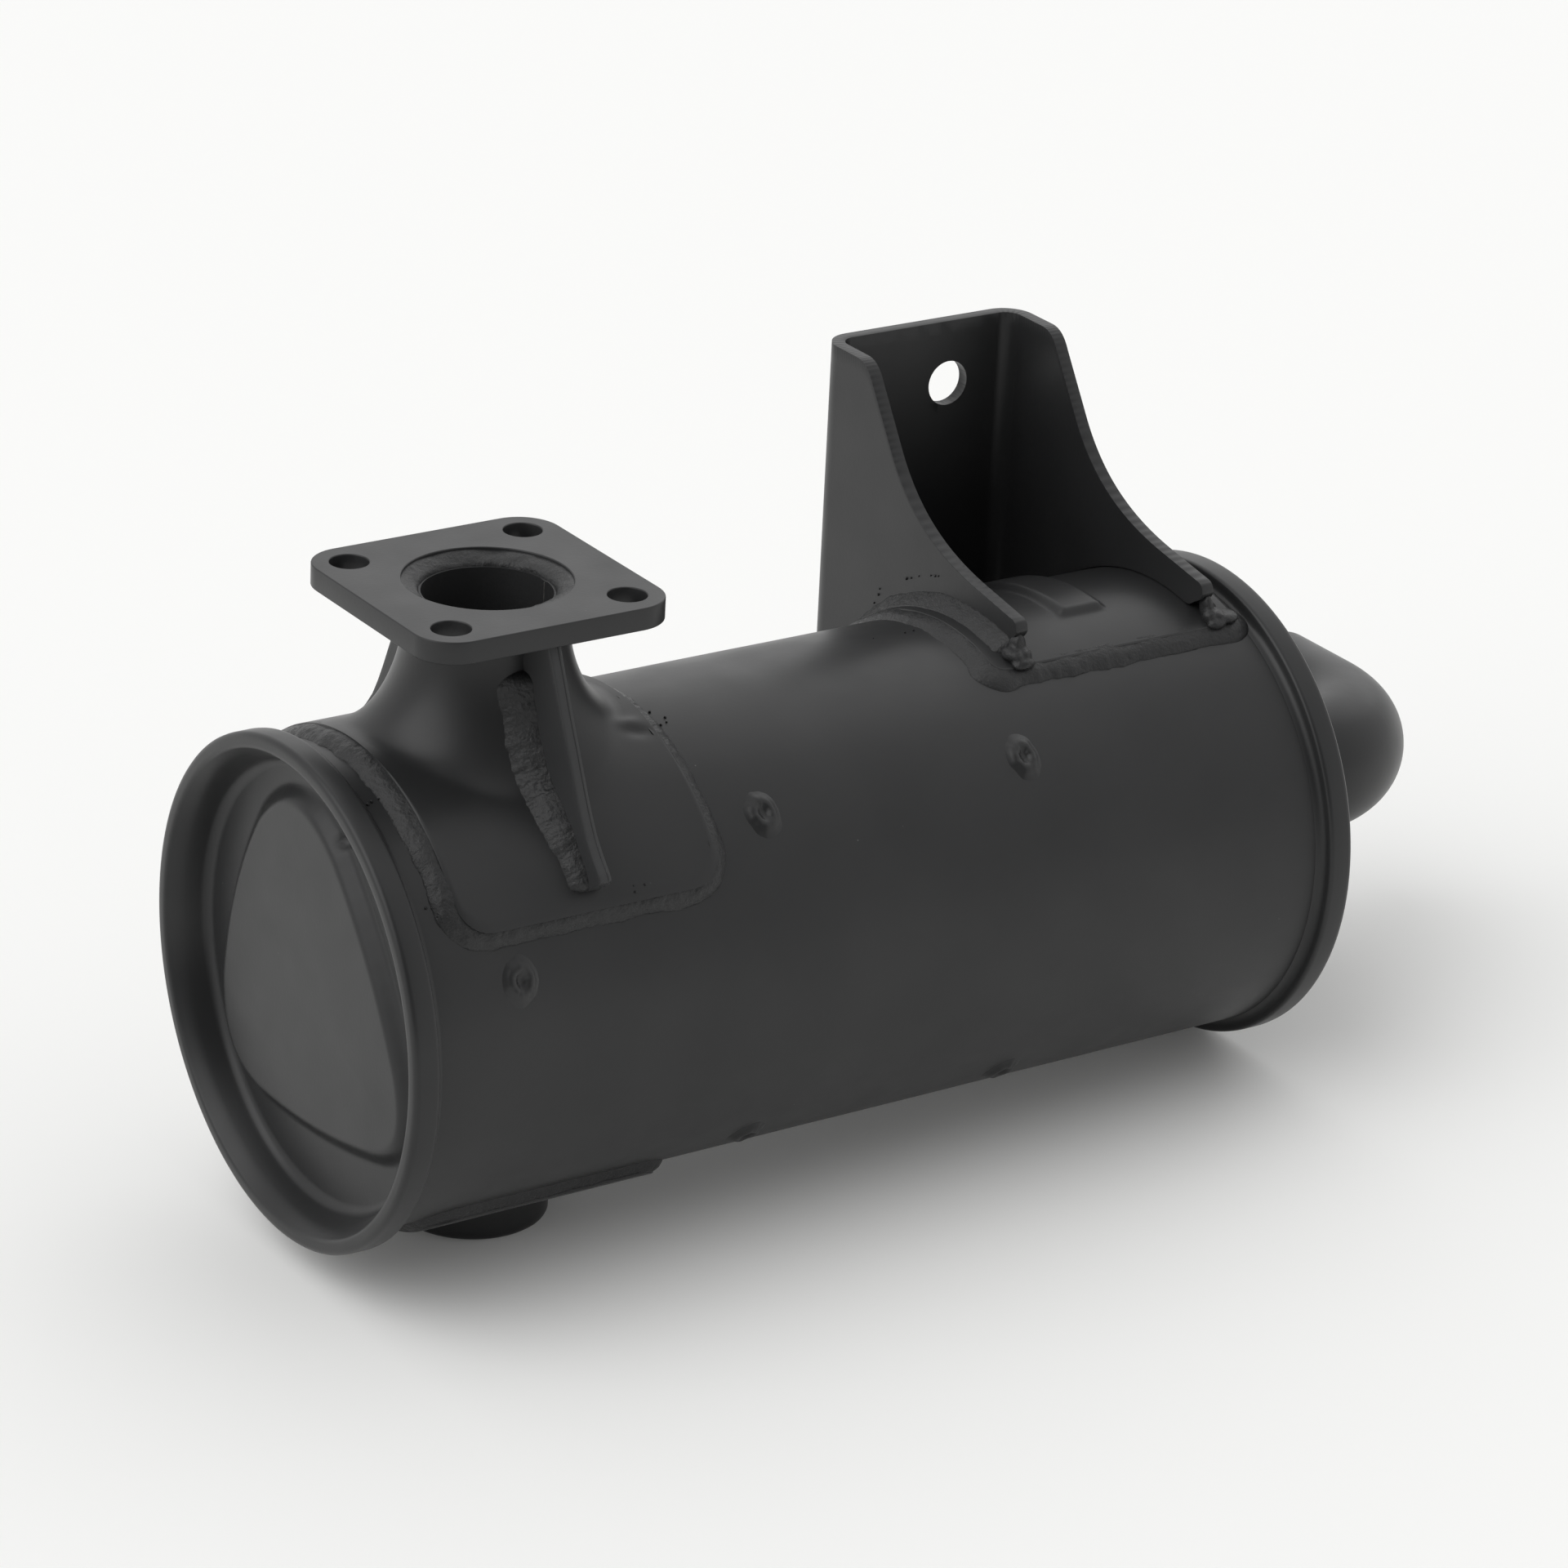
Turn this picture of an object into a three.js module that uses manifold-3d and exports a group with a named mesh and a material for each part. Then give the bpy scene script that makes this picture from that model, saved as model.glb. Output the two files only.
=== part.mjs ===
// Engine exhaust silencer: a welded sheet-steel drum with a flanged inlet, a hanger bracket and a
// turned-out tail pipe. Millimetres, +X along the drum toward the tail pipe, +Z up through the inlet.
import * as THREE from "three";
import { mergeVertices } from "three/addons/utils/BufferGeometryUtils.js";
import Module from "manifold-3d";

const wasm = await Module();
wasm.setup();

// Clearance left between neighbouring pieces.
const GAP = 0.3;
const ROUND_STEPS = 40;
const PIPE_STEPS = 24;
const BEND_STEPS = 6;

// Drum: rolled shell with a pressed cap hemmed over each end.
const BODY_LENGTH = 319.5;
const SHELL_RADIUS = 70;
const SHELL_SHEET = 2;
const RIM_RADIUS = SHELL_RADIUS + 4.3;
const RIM_WIDTH = 8;
const CAP_SHEET = 1.6;
const CAP_DEPTH = 12.2;
const PANEL_RISE = 4;
const PANEL_CORNER_REACH = SHELL_RADIUS;
const PANEL_CORNER_ANGLES = [-9, -129, 116];
const PANEL_SIDE_BOWS = [14.5, 8, 11];

// Inlet: square flange on a tube that crosses the drum, inside a flared neck.
const INLET_X = 62.9;
const FLANGE_TOP = SHELL_RADIUS + 43.4;
const FLANGE_SIDE = 78;
const FLANGE_THICKNESS = 6.6;
const FLANGE_CORNER = 12;
const BOLT_SPACING = 56;
const BOLT_HOLE = 11.2;
const NECK_RADIUS = 23.2;
const FLANGE_BORE = 2 * (NECK_RADIUS + 0.8);
const NECK_SET_BACK = 3.6;
const NECK_STRAIGHT = 8;
const FLARE_REACH = NECK_RADIUS + 16.3;
const SADDLE_SHEET = 2.8;
const SADDLE_X = 63;
const SADDLE_HALF_LENGTH = FLARE_REACH + 2.3;
const SADDLE_HALF_ANGLE = 58.8;
const SADDLE_CORNER = 10;
const TUBE_SHEET = 1.6;
const TUBE_TOP = FLANGE_TOP - 3.9;
const GUSSET_SHEET = 4;
// Beyond the flare's reach and above the drum's radius, from the foot up.
const GUSSET_EDGE = [[27.3, -21.4], [19.3, -12], [13.9, -1.8], [4.8, 18]];
const GUSSET_TOP_REACH = NECK_RADIUS + 13.1;
const GUSSET_FOOT_ANGLE = 54.5;

// Underside: reinforcing plate and the capped end of the inlet tube.
const PLATE_SHEET = 2.7;
const PLATE_HALF_LENGTH = 38;
const PLATE_HALF_ANGLE = 36;
const FOOT_BOTTOM = -SHELL_RADIUS - 11;
const FOOT_RADIUS = NECK_RADIUS - 0.7;
const FOOT_SHEET = 2;

// Hanger bracket: channel folded from plate, standing on a curved doubler.
const BRACKET_X = BODY_LENGTH - 56.2;
const BRACKET_WIDTH = 71.4;
const BRACKET_SHEET = 4;
const BRACKET_BACK = SHELL_RADIUS + 14;
const BRACKET_BEND = 9;
const BRACKET_TOP = SHELL_RADIUS + 63;
const BRACKET_BOTTOM = 20;
const BRACKET_NOSE = 24;
const HANGER_HOLE = 14;
const HANGER_HOLE_OFFSET = 9.4;
const HANGER_HOLE_HEIGHT = BRACKET_TOP - 20;
const DOUBLER_SHEET = 2.3;
const DOUBLER_LENGTH = 88;
const DOUBLER_FRONT_ANGLE = 22.5;
const DOUBLER_BACK_ANGLE = -80;
const RIB_OFFSET = -2;
const RIB_WIDTH = 16;
const RIB_RISE = 1.8;
const RIB_FRONT_ANGLE = 9;

// Inside: three flanged baffles, two crossover tubes and the tail pipe.
const BAFFLE_SHEET = 1.5;
const BAFFLE_FLANGE = 14;
const PLUG_OFFSET = 2;
const BAFFLE_POSITIONS = {
  baffle_inlet: INLET_X - (NECK_RADIUS - SADDLE_SHEET - GAP) - BAFFLE_FLANGE / 2 - 0.8,
  baffle_front: 122.7,
  baffle_rear: 212,
};
const CROSSOVER_RADIUS = 14;
const CROSSOVER_OFFSET = 37;
const CROSSOVER_SHEET = 1.5;
const CROSSOVER_OVERHANG = 22;
const PIPE_RADIUS = 21.2;
const PIPE_SHEET = 2;
const PIPE_START = BODY_LENGTH - 75.5;
const ELBOW_X = BODY_LENGTH + 66;
const ELBOW_BEND = 27;
const ELBOW_MOUTH = 52;

// Weld beads and the plug welds that hold the baffles.
const BEAD_WIDTH = 4.2;
const BEAD_HEIGHT = 2.4;
const SADDLE_BEAD_WIDTH = 5.4;
const PLUG_RADIUS = 4.2;
const PLUG_STRETCH = 1.25;
const PLUG_WELDS = [
  ["plug_weld_inlet_front", "baffle_inlet", 70.5],
  ["plug_weld_inlet_rear", "baffle_inlet", -70.5],
  ["plug_weld_front_a", "baffle_front", 45],
  ["plug_weld_front_b", "baffle_front", 136],
  ["plug_weld_front_c", "baffle_front", -45],
  ["plug_weld_front_d", "baffle_front", -136],
  ["plug_weld_rear_a", "baffle_rear", 45],
  ["plug_weld_rear_b", "baffle_rear", 136],
  ["plug_weld_rear_c", "baffle_rear", -136],
];

const group = new THREE.Group();
const paint = () => new THREE.MeshStandardMaterial({ color: 0x2b2c2e, roughness: 0.55, metalness: 0.1 });
const weldPaint = () => new THREE.MeshStandardMaterial({ color: 0x303236, roughness: 0.45, metalness: 0.15 });
const steel = () => new THREE.MeshStandardMaterial({ color: 0x8d8f92, roughness: 0.4, metalness: 0.9 });

const radians = THREE.MathUtils.degToRad;
const point2 = (a, b) => new THREE.Vector2(a, b);

// A closed three.js geometry as a solid, turned to face outward.
function solid(geometry) {
  const bare = new THREE.BufferGeometry();
  const flat = geometry.index ? geometry.toNonIndexed() : geometry;
  bare.setAttribute("position", flat.getAttribute("position"));
  const merged = mergeVertices(bare, 1e-4);
  const triVerts = new Uint32Array(merged.index.array);
  const vertProperties = merged.attributes.position.array;
  const made = new wasm.Manifold(new wasm.Mesh({ numProp: 3, vertProperties, triVerts }));
  if (made.volume() > 0) return made;
  for (let i = 0; i < triVerts.length; i += 3) {
    [triVerts[i + 1], triVerts[i + 2]] = [triVerts[i + 2], triVerts[i + 1]];
  }
  return new wasm.Manifold(new wasm.Mesh({ numProp: 3, vertProperties, triVerts }));
}

function addPart(name, body, material) {
  const { vertProperties, triVerts } = body.getMesh();
  const indexed = new THREE.BufferGeometry();
  indexed.setAttribute("position", new THREE.BufferAttribute(new Float32Array(vertProperties), 3));
  indexed.setIndex(new THREE.BufferAttribute(new Uint32Array(triVerts), 1));
  const geometry = indexed.toNonIndexed();
  geometry.computeVertexNormals();
  const mesh = new THREE.Mesh(geometry, material);
  mesh.name = name;
  group.add(mesh);
}

// Solids of revolution. Profiles are [radius, height along the axis].
function turned(profile, steps = ROUND_STEPS) {
  return new THREE.LatheGeometry(profile.map(([r, h]) => point2(r, h)), steps);
}

// The lathe axis is laid along +X, keeping heights as x.
function turnedX(profile, steps) {
  return solid(turned(profile, steps).rotateZ(-Math.PI / 2));
}

function turnedZ(profile, x, y = 0, steps = ROUND_STEPS) {
  return solid(turned(profile, steps).rotateX(Math.PI / 2).translate(x, y, 0));
}

function rod(radius, from, to) {
  return [[0, from], [radius, from], [radius, to], [0, to]];
}

function sleeve(inner, outer, from, to) {
  return [[inner, from], [outer, from], [outer, to], [inner, to], [inner, from]];
}

// A skin over closed outlines of equal length: end outlines are capped, or the run is closed up.
function skin(outlines, closed = false) {
  const count = outlines[0].length;
  const corners = [];
  const spans = closed ? outlines.length : outlines.length - 1;
  for (let i = 0; i < spans; i += 1) {
    const a = outlines[i];
    const b = outlines[(i + 1) % outlines.length];
    for (let j = 0; j < count; j += 1) {
      const k = (j + 1) % count;
      corners.push(a[j], b[j], b[k], a[j], b[k], a[k]);
    }
  }
  if (!closed) {
    const last = outlines[outlines.length - 1];
    for (let j = 1; j < count - 1; j += 1) {
      corners.push(outlines[0][0], outlines[0][j], outlines[0][j + 1]);
      corners.push(last[0], last[j + 1], last[j]);
    }
  }
  return solid(new THREE.BufferGeometry().setFromPoints(corners));
}

// A place on the drum: x along it, angle from the top toward the viewer side (-Y), radius.
function onDrum(x, degrees, radius) {
  const a = radians(degrees);
  return new THREE.Vector3(x, -radius * Math.sin(a), radius * Math.cos(a));
}

// A curved plate following the drum. Rows give the angle, both x limits and both radii.
function curvedPlate(rows) {
  return skin(rows.map(({ angle, x0, x1, r0, r1 }) => [
    onDrum(x0, angle, r0),
    onDrum(x1, angle, r0),
    onDrum(x1, angle, r1),
    onDrum(x0, angle, r1),
  ]));
}

// Rows of a plate with rounded corners, centred on an angle.
function roundedRows(x, halfLength, middle, halfAngle, corner, r0, r1, steps = 7) {
  const cornerAngle = THREE.MathUtils.radToDeg(corner / r1);
  const rows = [];
  for (let i = 0; i <= steps; i += 1) {
    const turn = (Math.PI / 2) * (i / steps);
    const inset = corner * (1 - Math.sin(turn));
    const angle = halfAngle - cornerAngle * (1 - Math.cos(turn));
    rows.push({ angle, half: halfLength - inset });
  }
  const flats = Math.max(2, Math.round((halfAngle - cornerAngle) / 7));
  const edge = halfAngle - cornerAngle;
  const all = rows.filter((_, i) => i > 0).sort((p, q) => q.angle - p.angle);
  for (let i = 1; i < flats * 2; i += 1) all.push({ angle: edge - (edge * i) / flats, half: halfLength });
  rows.slice(1).reverse().forEach((row) => all.push({ angle: -row.angle, half: row.half }));
  all.sort((p, q) => q.angle - p.angle);
  return all
    .filter((row, i) => i === 0 || all[i - 1].angle - row.angle > 1e-6)
    .map((row) => ({ angle: middle + row.angle, x0: x - row.half, x1: x + row.half, r0, r1 }));
}

// The outline of a rounded plate as a closed run of {x, angle} seen from outside.
function roundedOutline(x, halfLength, middle, halfAngle, corner, radius, steps = 5) {
  const rows = roundedRows(x, halfLength, middle, halfAngle, corner, radius, radius, steps);
  const right = rows.map((row) => [row.x1, row.angle]);
  const left = rows.map((row) => [row.x0, row.angle]).reverse();
  return [...right, ...left];
}

// A bead laid on the drum just outside a closed outline of [x, angle].
function beadAround(outline, radius, width = BEAD_WIDTH, height = BEAD_HEIGHT) {
  const flat = outline.map(([x, degrees]) => point2(x, radians(degrees) * radius));
  const area = THREE.ShapeUtils.area(flat);
  const sections = flat.map((here, i) => {
    const before = flat[(i + flat.length - 1) % flat.length];
    const after = flat[(i + 1) % flat.length];
    const along = after.clone().sub(before).normalize();
    const out = area > 0 ? point2(along.y, -along.x) : point2(-along.y, along.x);
    const profile = [[GAP, GAP], [width, GAP], [width * 0.55, height], [GAP, height * 0.85]];
    return profile.map(([offset, lift]) => {
      const place = here.clone().addScaledVector(out, offset);
      return onDrum(place.x, THREE.MathUtils.radToDeg(place.y / radius), radius + lift);
    });
  });
  return skin(sections, true);
}

// End caps: [radius, depth from the rim face].
function capProfile(floorHole) {
  const wall = SHELL_RADIUS - SHELL_SHEET - GAP;
  const inside = wall - CAP_SHEET;
  const floor = CAP_DEPTH;
  const hem = SHELL_RADIUS + GAP;
  return [
    [floorHole, floor],
    [inside - 2.6, floor],
    [inside - 0.2, floor - 2.4],
    [inside + 0.3, 4.4],
    [inside + 1.1, 2.9],
    [inside + 2.9, 1.1],
    [inside + 3.8, 0],
    [RIM_RADIUS - 1.4, 0],
    [RIM_RADIUS, 1.4],
    [RIM_RADIUS, RIM_WIDTH],
    [RIM_RADIUS - 1.4, RIM_WIDTH],
    [hem, RIM_WIDTH - 2.6],
    [hem, 3.3],
    [wall, 3.3],
    [wall, floor - 1.5],
    [wall - 3.2, floor + CAP_SHEET],
    [floorHole, floor + CAP_SHEET],
  ];
}

// Outline of the pressed three-cornered panel, in (y, z) seen along the drum.
function panelShape(shrink) {
  const corners = PANEL_CORNER_ANGLES.map((degrees) => {
    const reach = PANEL_CORNER_REACH - shrink * 2;
    return point2(-reach * Math.sin(radians(degrees)), reach * Math.cos(radians(degrees)));
  });
  const side = (index, t) => {
    const a = corners[index];
    const b = corners[(index + 1) % corners.length];
    const bow = PANEL_SIDE_BOWS[index] * 4 * t * (1 - t);
    return a.clone().lerp(b, t).addScaledVector(a.clone().add(b).normalize(), bow);
  };
  const shape = new THREE.Shape();
  corners.forEach((corner, i) => {
    const start = side((i + corners.length - 1) % corners.length, 0.8);
    if (i === 0) shape.moveTo(start.x, start.y);
    const leave = side(i, 0.2);
    shape.quadraticCurveTo(corner.x, corner.y, leave.x, leave.y);
    [0.4, 0.6, 0.8].forEach((t) => {
      const place = side(i, t);
      shape.lineTo(place.x, place.y);
    });
  });
  return shape;
}

// The panel as a solid: its face looks toward -X at faceX and its base is at baseX.
function panelSolid(shrink, faceX, baseX, flank) {
  const depth = baseX - faceX;
  const settings = { depth: 0.5, bevelThickness: depth - 0.5, bevelSize: flank, bevelOffset: -flank };
  const pressed = new THREE.ExtrudeGeometry(panelShape(shrink), {
    ...settings,
    bevelEnabled: true,
    bevelSegments: 2,
    curveSegments: 5,
  });
  pressed.translate(0, 0, -0.5);
  pressed.applyMatrix4(new THREE.Matrix4().set(0, 0, -1, baseX, 1, 0, 0, 0, 0, 1, 0, 0, 0, 0, 0, 1));
  const keep = turnedX(rod(SHELL_RADIUS, faceX - 1, baseX), 24);
  return solid(pressed).intersect(keep);
}

function frontEndCap() {
  const cap = turnedX(capProfile(0));
  const raised = panelSolid(0, CAP_DEPTH - PANEL_RISE, CAP_DEPTH + 0.5, 3);
  const hollow = panelSolid(1.2, CAP_DEPTH - PANEL_RISE + CAP_SHEET, CAP_DEPTH + CAP_SHEET + 0.5, 3);
  return cap.add(raised).subtract(hollow);
}

function rearEndCap() {
  const profile = capProfile(PIPE_RADIUS + GAP).map(([r, x]) => [r, BODY_LENGTH - x]);
  return turnedX([...profile, profile[0]]);
}

// Height of the drum surface, at a radius, above a point y off the middle plane.
function drumHeight(y, radius) {
  return Math.sqrt(Math.max(0, radius * radius - y * y));
}

// One side of the flared neck in a vertical plane through the inlet axis: [reach, height] pairs.
function flareProfile(direction, neck, reach, seat) {
  const sideways = Math.abs(Math.sin(direction));
  const top = FLANGE_TOP - NECK_SET_BACK;
  const base = drumHeight(reach * sideways, seat);
  const slope = -(reach * sideways * sideways) / base;
  const run = reach - neck;
  const curve = new THREE.CubicBezierCurve(
    point2(neck, top - NECK_STRAIGHT),
    point2(neck, base + (top - NECK_STRAIGHT - base) * 0.56),
    point2(reach - run * 0.52, base - slope * run * 0.52),
    point2(reach, base),
  );
  return [point2(neck, top), ...curve.getPoints(6)];
}

function flareSolid(neck, reach, seat, lift) {
  const around = 30;
  const outlines = [];
  for (let i = 0; i < around; i += 1) {
    const direction = (i / around) * Math.PI * 2;
    const profile = flareProfile(direction, neck, reach, seat);
    profile[0].y += lift;
    profile.push(point2(reach, SHELL_RADIUS - 25));
    outlines.push(profile.map((p) => new THREE.Vector3(
      INLET_X + p.x * Math.cos(direction),
      p.x * Math.sin(direction),
      p.y,
    )));
  }
  const rings = outlines[0].map((_, level) => outlines.map((outline) => outline[level]));
  return skin(rings);
}

const saddleSeat = SHELL_RADIUS + GAP;
const saddleTop = saddleSeat + SADDLE_SHEET;

function inletSaddle() {
  const rows = roundedRows(
    SADDLE_X, SADDLE_HALF_LENGTH, 0, SADDLE_HALF_ANGLE, SADDLE_CORNER, saddleSeat, saddleTop,
  );
  const flare = flareSolid(NECK_RADIUS, FLARE_REACH, saddleTop, 0);
  const hollow = flareSolid(NECK_RADIUS - SADDLE_SHEET, FLARE_REACH - SADDLE_SHEET, saddleSeat + 0.5, 2);
  const core = turnedX(rod(saddleSeat, INLET_X - 60, INLET_X + 60), 72);
  return curvedPlate(rows).add(flare.subtract(core)).subtract(hollow);
}

function inletFlange() {
  const half = FLANGE_SIDE / 2;
  const c = FLANGE_CORNER;
  const shape = new THREE.Shape();
  shape.moveTo(-half + c, -half);
  shape.lineTo(half - c, -half);
  shape.absarc(half - c, -half + c, c, -Math.PI / 2, 0);
  shape.lineTo(half, half - c);
  shape.absarc(half - c, half - c, c, 0, Math.PI / 2);
  shape.lineTo(-half + c, half);
  shape.absarc(-half + c, half - c, c, Math.PI / 2, Math.PI);
  shape.lineTo(-half, -half + c);
  shape.absarc(-half + c, -half + c, c, Math.PI, Math.PI * 1.5);
  const plate = solid(new THREE.ExtrudeGeometry(shape, {
    depth: FLANGE_THICKNESS,
    bevelEnabled: false,
    curveSegments: 8,
  }).translate(INLET_X, 0, FLANGE_TOP - FLANGE_THICKNESS));
  const through = (radius, x, y, steps) => (
    turnedZ(rod(radius, FLANGE_TOP - 20, FLANGE_TOP + 5), x, y, steps)
  );
  let flange = plate.subtract(through(FLANGE_BORE / 2, INLET_X, 0, 32));
  for (const sx of [-0.5, 0.5]) {
    for (const sy of [-0.5, 0.5]) {
      const hole = through(BOLT_HOLE / 2, INLET_X + sx * BOLT_SPACING, sy * BOLT_SPACING, 16);
      flange = flange.subtract(hole);
    }
  }
  return flange;
}

const tubeRadius = NECK_RADIUS - SADDLE_SHEET - GAP;

// The tube hangs in the neck and crosses the drum; rows of holes let the gas out inside.
function inletTube() {
  const bottom = FOOT_BOTTOM + FOOT_SHEET + GAP;
  let tube = turnedZ(sleeve(tubeRadius - TUBE_SHEET, tubeRadius, bottom, TUBE_TOP), INLET_X, 0, 28);
  for (const height of [-32, 0, 32]) {
    const cross = turned(rod(6, -40, 40), 10).rotateZ(Math.PI / 2).translate(INLET_X, 0, height);
    tube = tube.subtract(solid(cross));
  }
  return tube;
}

function flangeWeld() {
  const inner = tubeRadius - TUBE_SHEET + 0.7;
  const outer = FLANGE_BORE / 2 - GAP;
  const seat = FLANGE_TOP - NECK_SET_BACK + GAP;
  return turnedZ([
    [inner, seat],
    [outer, seat],
    [outer, FLANGE_TOP - 0.3],
    [outer - 1, FLANGE_TOP - 1],
    [inner + 0.6, seat + 0.9],
    [inner, seat],
  ], INLET_X, 0, 32);
}

// The edge of a gusset that lies against the flared neck and the saddle: (reach, height) pairs.
function gussetEdge(clear) {
  const profile = flareProfile(Math.PI / 2, NECK_RADIUS, FLARE_REACH, saddleTop);
  const lifted = profile.map((p, i) => {
    const a = profile[Math.max(0, i - 1)];
    const b = profile[Math.min(profile.length - 1, i + 1)];
    const along = b.clone().sub(a).normalize();
    return point2(p.x - along.y * clear, p.y + along.x * clear);
  });
  lifted[0].y = FLANGE_TOP - FLANGE_THICKNESS - GAP;
  const start = THREE.MathUtils.radToDeg(Math.asin(FLARE_REACH / saddleTop)) + 1.5;
  for (let i = 0; i <= 4; i += 1) {
    const a = radians(start + ((GUSSET_FOOT_ANGLE - start) * i) / 4);
    lifted.push(point2((saddleTop + clear) * Math.sin(a), (saddleTop + clear) * Math.cos(a)));
  }
  return lifted;
}

function gusset(side) {
  const edge = gussetEdge(GAP + 0.1);
  const top = edge[0].y;
  const outer = GUSSET_EDGE.map(([out, rise]) => point2(FLARE_REACH + out, SHELL_RADIUS + rise));
  const outline = [
    ...edge,
    outer[0].clone().sub(point2(1, 2)),
    ...outer,
    point2(GUSSET_TOP_REACH, top),
  ];
  const half = GUSSET_SHEET / 2;
  const shape = new THREE.Shape(outline);
  const plate = new THREE.ExtrudeGeometry(shape, { depth: GUSSET_SHEET, bevelEnabled: false });
  const place = new THREE.Matrix4().set(0, 0, 1, INLET_X - half, side, 0, 0, 0, 0, 1, 0, 0, 0, 0, 0, 1);
  return solid(plate.applyMatrix4(place));
}

// A fillet bead in the corner between a gusset face and the neck.
function gussetWeld(side, hand) {
  const near = gussetEdge(GAP + 0.4).slice(1);
  const far = gussetEdge(GAP + 4.2).slice(1);
  const from = hand * (GUSSET_SHEET / 2 + GAP);
  const to = hand * (GUSSET_SHEET / 2 + 4.6);
  const at = (x, p) => new THREE.Vector3(INLET_X + x, side * p.x, p.y);
  return skin(near.map((p, i) => {
    const q = far[i];
    const middle = p.clone().lerp(q, 0.55);
    return [at(from, p), at(to, p), at(hand * 5, middle), at(from, q)];
  }));
}

function bottomPlate() {
  const seat = SHELL_RADIUS + GAP;
  const rows = roundedRows(
    INLET_X, PLATE_HALF_LENGTH, 180, PLATE_HALF_ANGLE, 8, seat, seat + PLATE_SHEET,
  );
  const hole = turnedZ(rod(tubeRadius + GAP, -100, 0), INLET_X, 0, 28);
  return curvedPlate(rows).subtract(hole);
}

// A cup over the lower end of the inlet tube, its rim fitted to the bottom plate.
function footCap() {
  const rim = 10 - SHELL_RADIUS;
  const inside = tubeRadius + GAP;
  const cup = turnedZ([
    [0, FOOT_BOTTOM],
    [FOOT_RADIUS - 2.4, FOOT_BOTTOM],
    [FOOT_RADIUS, FOOT_BOTTOM + 2.4],
    [FOOT_RADIUS, rim],
    [inside, rim],
    [inside, FOOT_BOTTOM + FOOT_SHEET],
    [0, FOOT_BOTTOM + FOOT_SHEET],
  ], INLET_X, 0, 32);
  const seat = SHELL_RADIUS + GAP + PLATE_SHEET + GAP;
  return cup.subtract(turnedX(rod(seat, INLET_X - 40, INLET_X + 40), 72));
}

function mountingBracket() {
  const x0 = BRACKET_X - BRACKET_WIDTH / 2;
  const x1 = BRACKET_X + BRACKET_WIDTH / 2;
  const t = BRACKET_SHEET;
  const bend = BRACKET_BEND;
  const front = -BRACKET_NOSE - 5;
  const plan = new THREE.Shape();
  plan.moveTo(x0, front);
  plan.lineTo(x0 + t, front);
  plan.lineTo(x0 + t, BRACKET_BACK - bend);
  plan.absarc(x0 + bend, BRACKET_BACK - bend, bend - t, Math.PI, Math.PI / 2, true);
  plan.lineTo(x1 - bend, BRACKET_BACK - t);
  plan.absarc(x1 - bend, BRACKET_BACK - bend, bend - t, Math.PI / 2, 0, true);
  plan.lineTo(x1 - t, front);
  plan.lineTo(x1, front);
  plan.lineTo(x1, BRACKET_BACK - bend);
  plan.absarc(x1 - bend, BRACKET_BACK - bend, bend, 0, Math.PI / 2);
  plan.lineTo(x0 + bend, BRACKET_BACK);
  plan.absarc(x0 + bend, BRACKET_BACK - bend, bend, Math.PI / 2, Math.PI);
  const channel = solid(new THREE.ExtrudeGeometry(plan, {
    depth: BRACKET_TOP - BRACKET_BOTTOM,
    bevelEnabled: false,
    curveSegments: 5,
  }).translate(0, 0, BRACKET_BOTTOM));
  const side = new THREE.Shape();
  side.moveTo(BRACKET_BACK + 1, BRACKET_BOTTOM - 1);
  side.lineTo(BRACKET_BACK + 1, BRACKET_TOP + 1);
  const back = BRACKET_BACK;
  const high = BRACKET_TOP;
  const low = SHELL_RADIUS;
  side.lineTo(back - 20, high + 1);
  side.lineTo(back - 20, high);
  side.quadraticCurveTo(back - 25.5, high, back - 28.5, high - 5.5);
  side.lineTo(back - 41, high - 24.5);
  side.bezierCurveTo(back - 51, high - 39, back - 66, high - 47, -BRACKET_NOSE + 20, low + 12.5);
  side.lineTo(-BRACKET_NOSE + 3, low + 9.6);
  side.quadraticCurveTo(-BRACKET_NOSE, low + 9, -BRACKET_NOSE, low + 6.5);
  side.quadraticCurveTo(-BRACKET_NOSE, low + 4, -BRACKET_NOSE + 2.5, low + 3.6);
  side.lineTo(-BRACKET_NOSE + 8, low);
  side.lineTo(-BRACKET_NOSE + 8, BRACKET_BOTTOM - 1);
  const cheek = new THREE.ExtrudeGeometry(side, {
    depth: BRACKET_WIDTH + 4,
    bevelEnabled: false,
    curveSegments: 7,
  });
  cheek.applyMatrix4(new THREE.Matrix4().set(0, 0, 1, x0 - 2, 1, 0, 0, 0, 0, 1, 0, 0, 0, 0, 0, 1));
  const seat = SHELL_RADIUS + GAP + DOUBLER_SHEET + GAP;
  const drum = turnedX(rod(seat, x0 - 5, x1 + 5), 72);
  const hole = turned(rod(HANGER_HOLE / 2, BRACKET_BACK - 24, BRACKET_BACK + 16), 28);
  hole.translate(BRACKET_X + HANGER_HOLE_OFFSET, 0, HANGER_HOLE_HEIGHT);
  return channel.intersect(solid(cheek)).subtract(drum).subtract(solid(hole));
}

const doublerMiddle = (DOUBLER_FRONT_ANGLE + DOUBLER_BACK_ANGLE) / 2;
const doublerHalf = (DOUBLER_FRONT_ANGLE - DOUBLER_BACK_ANGLE) / 2;
const doublerX = BRACKET_X - 0.5;

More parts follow.
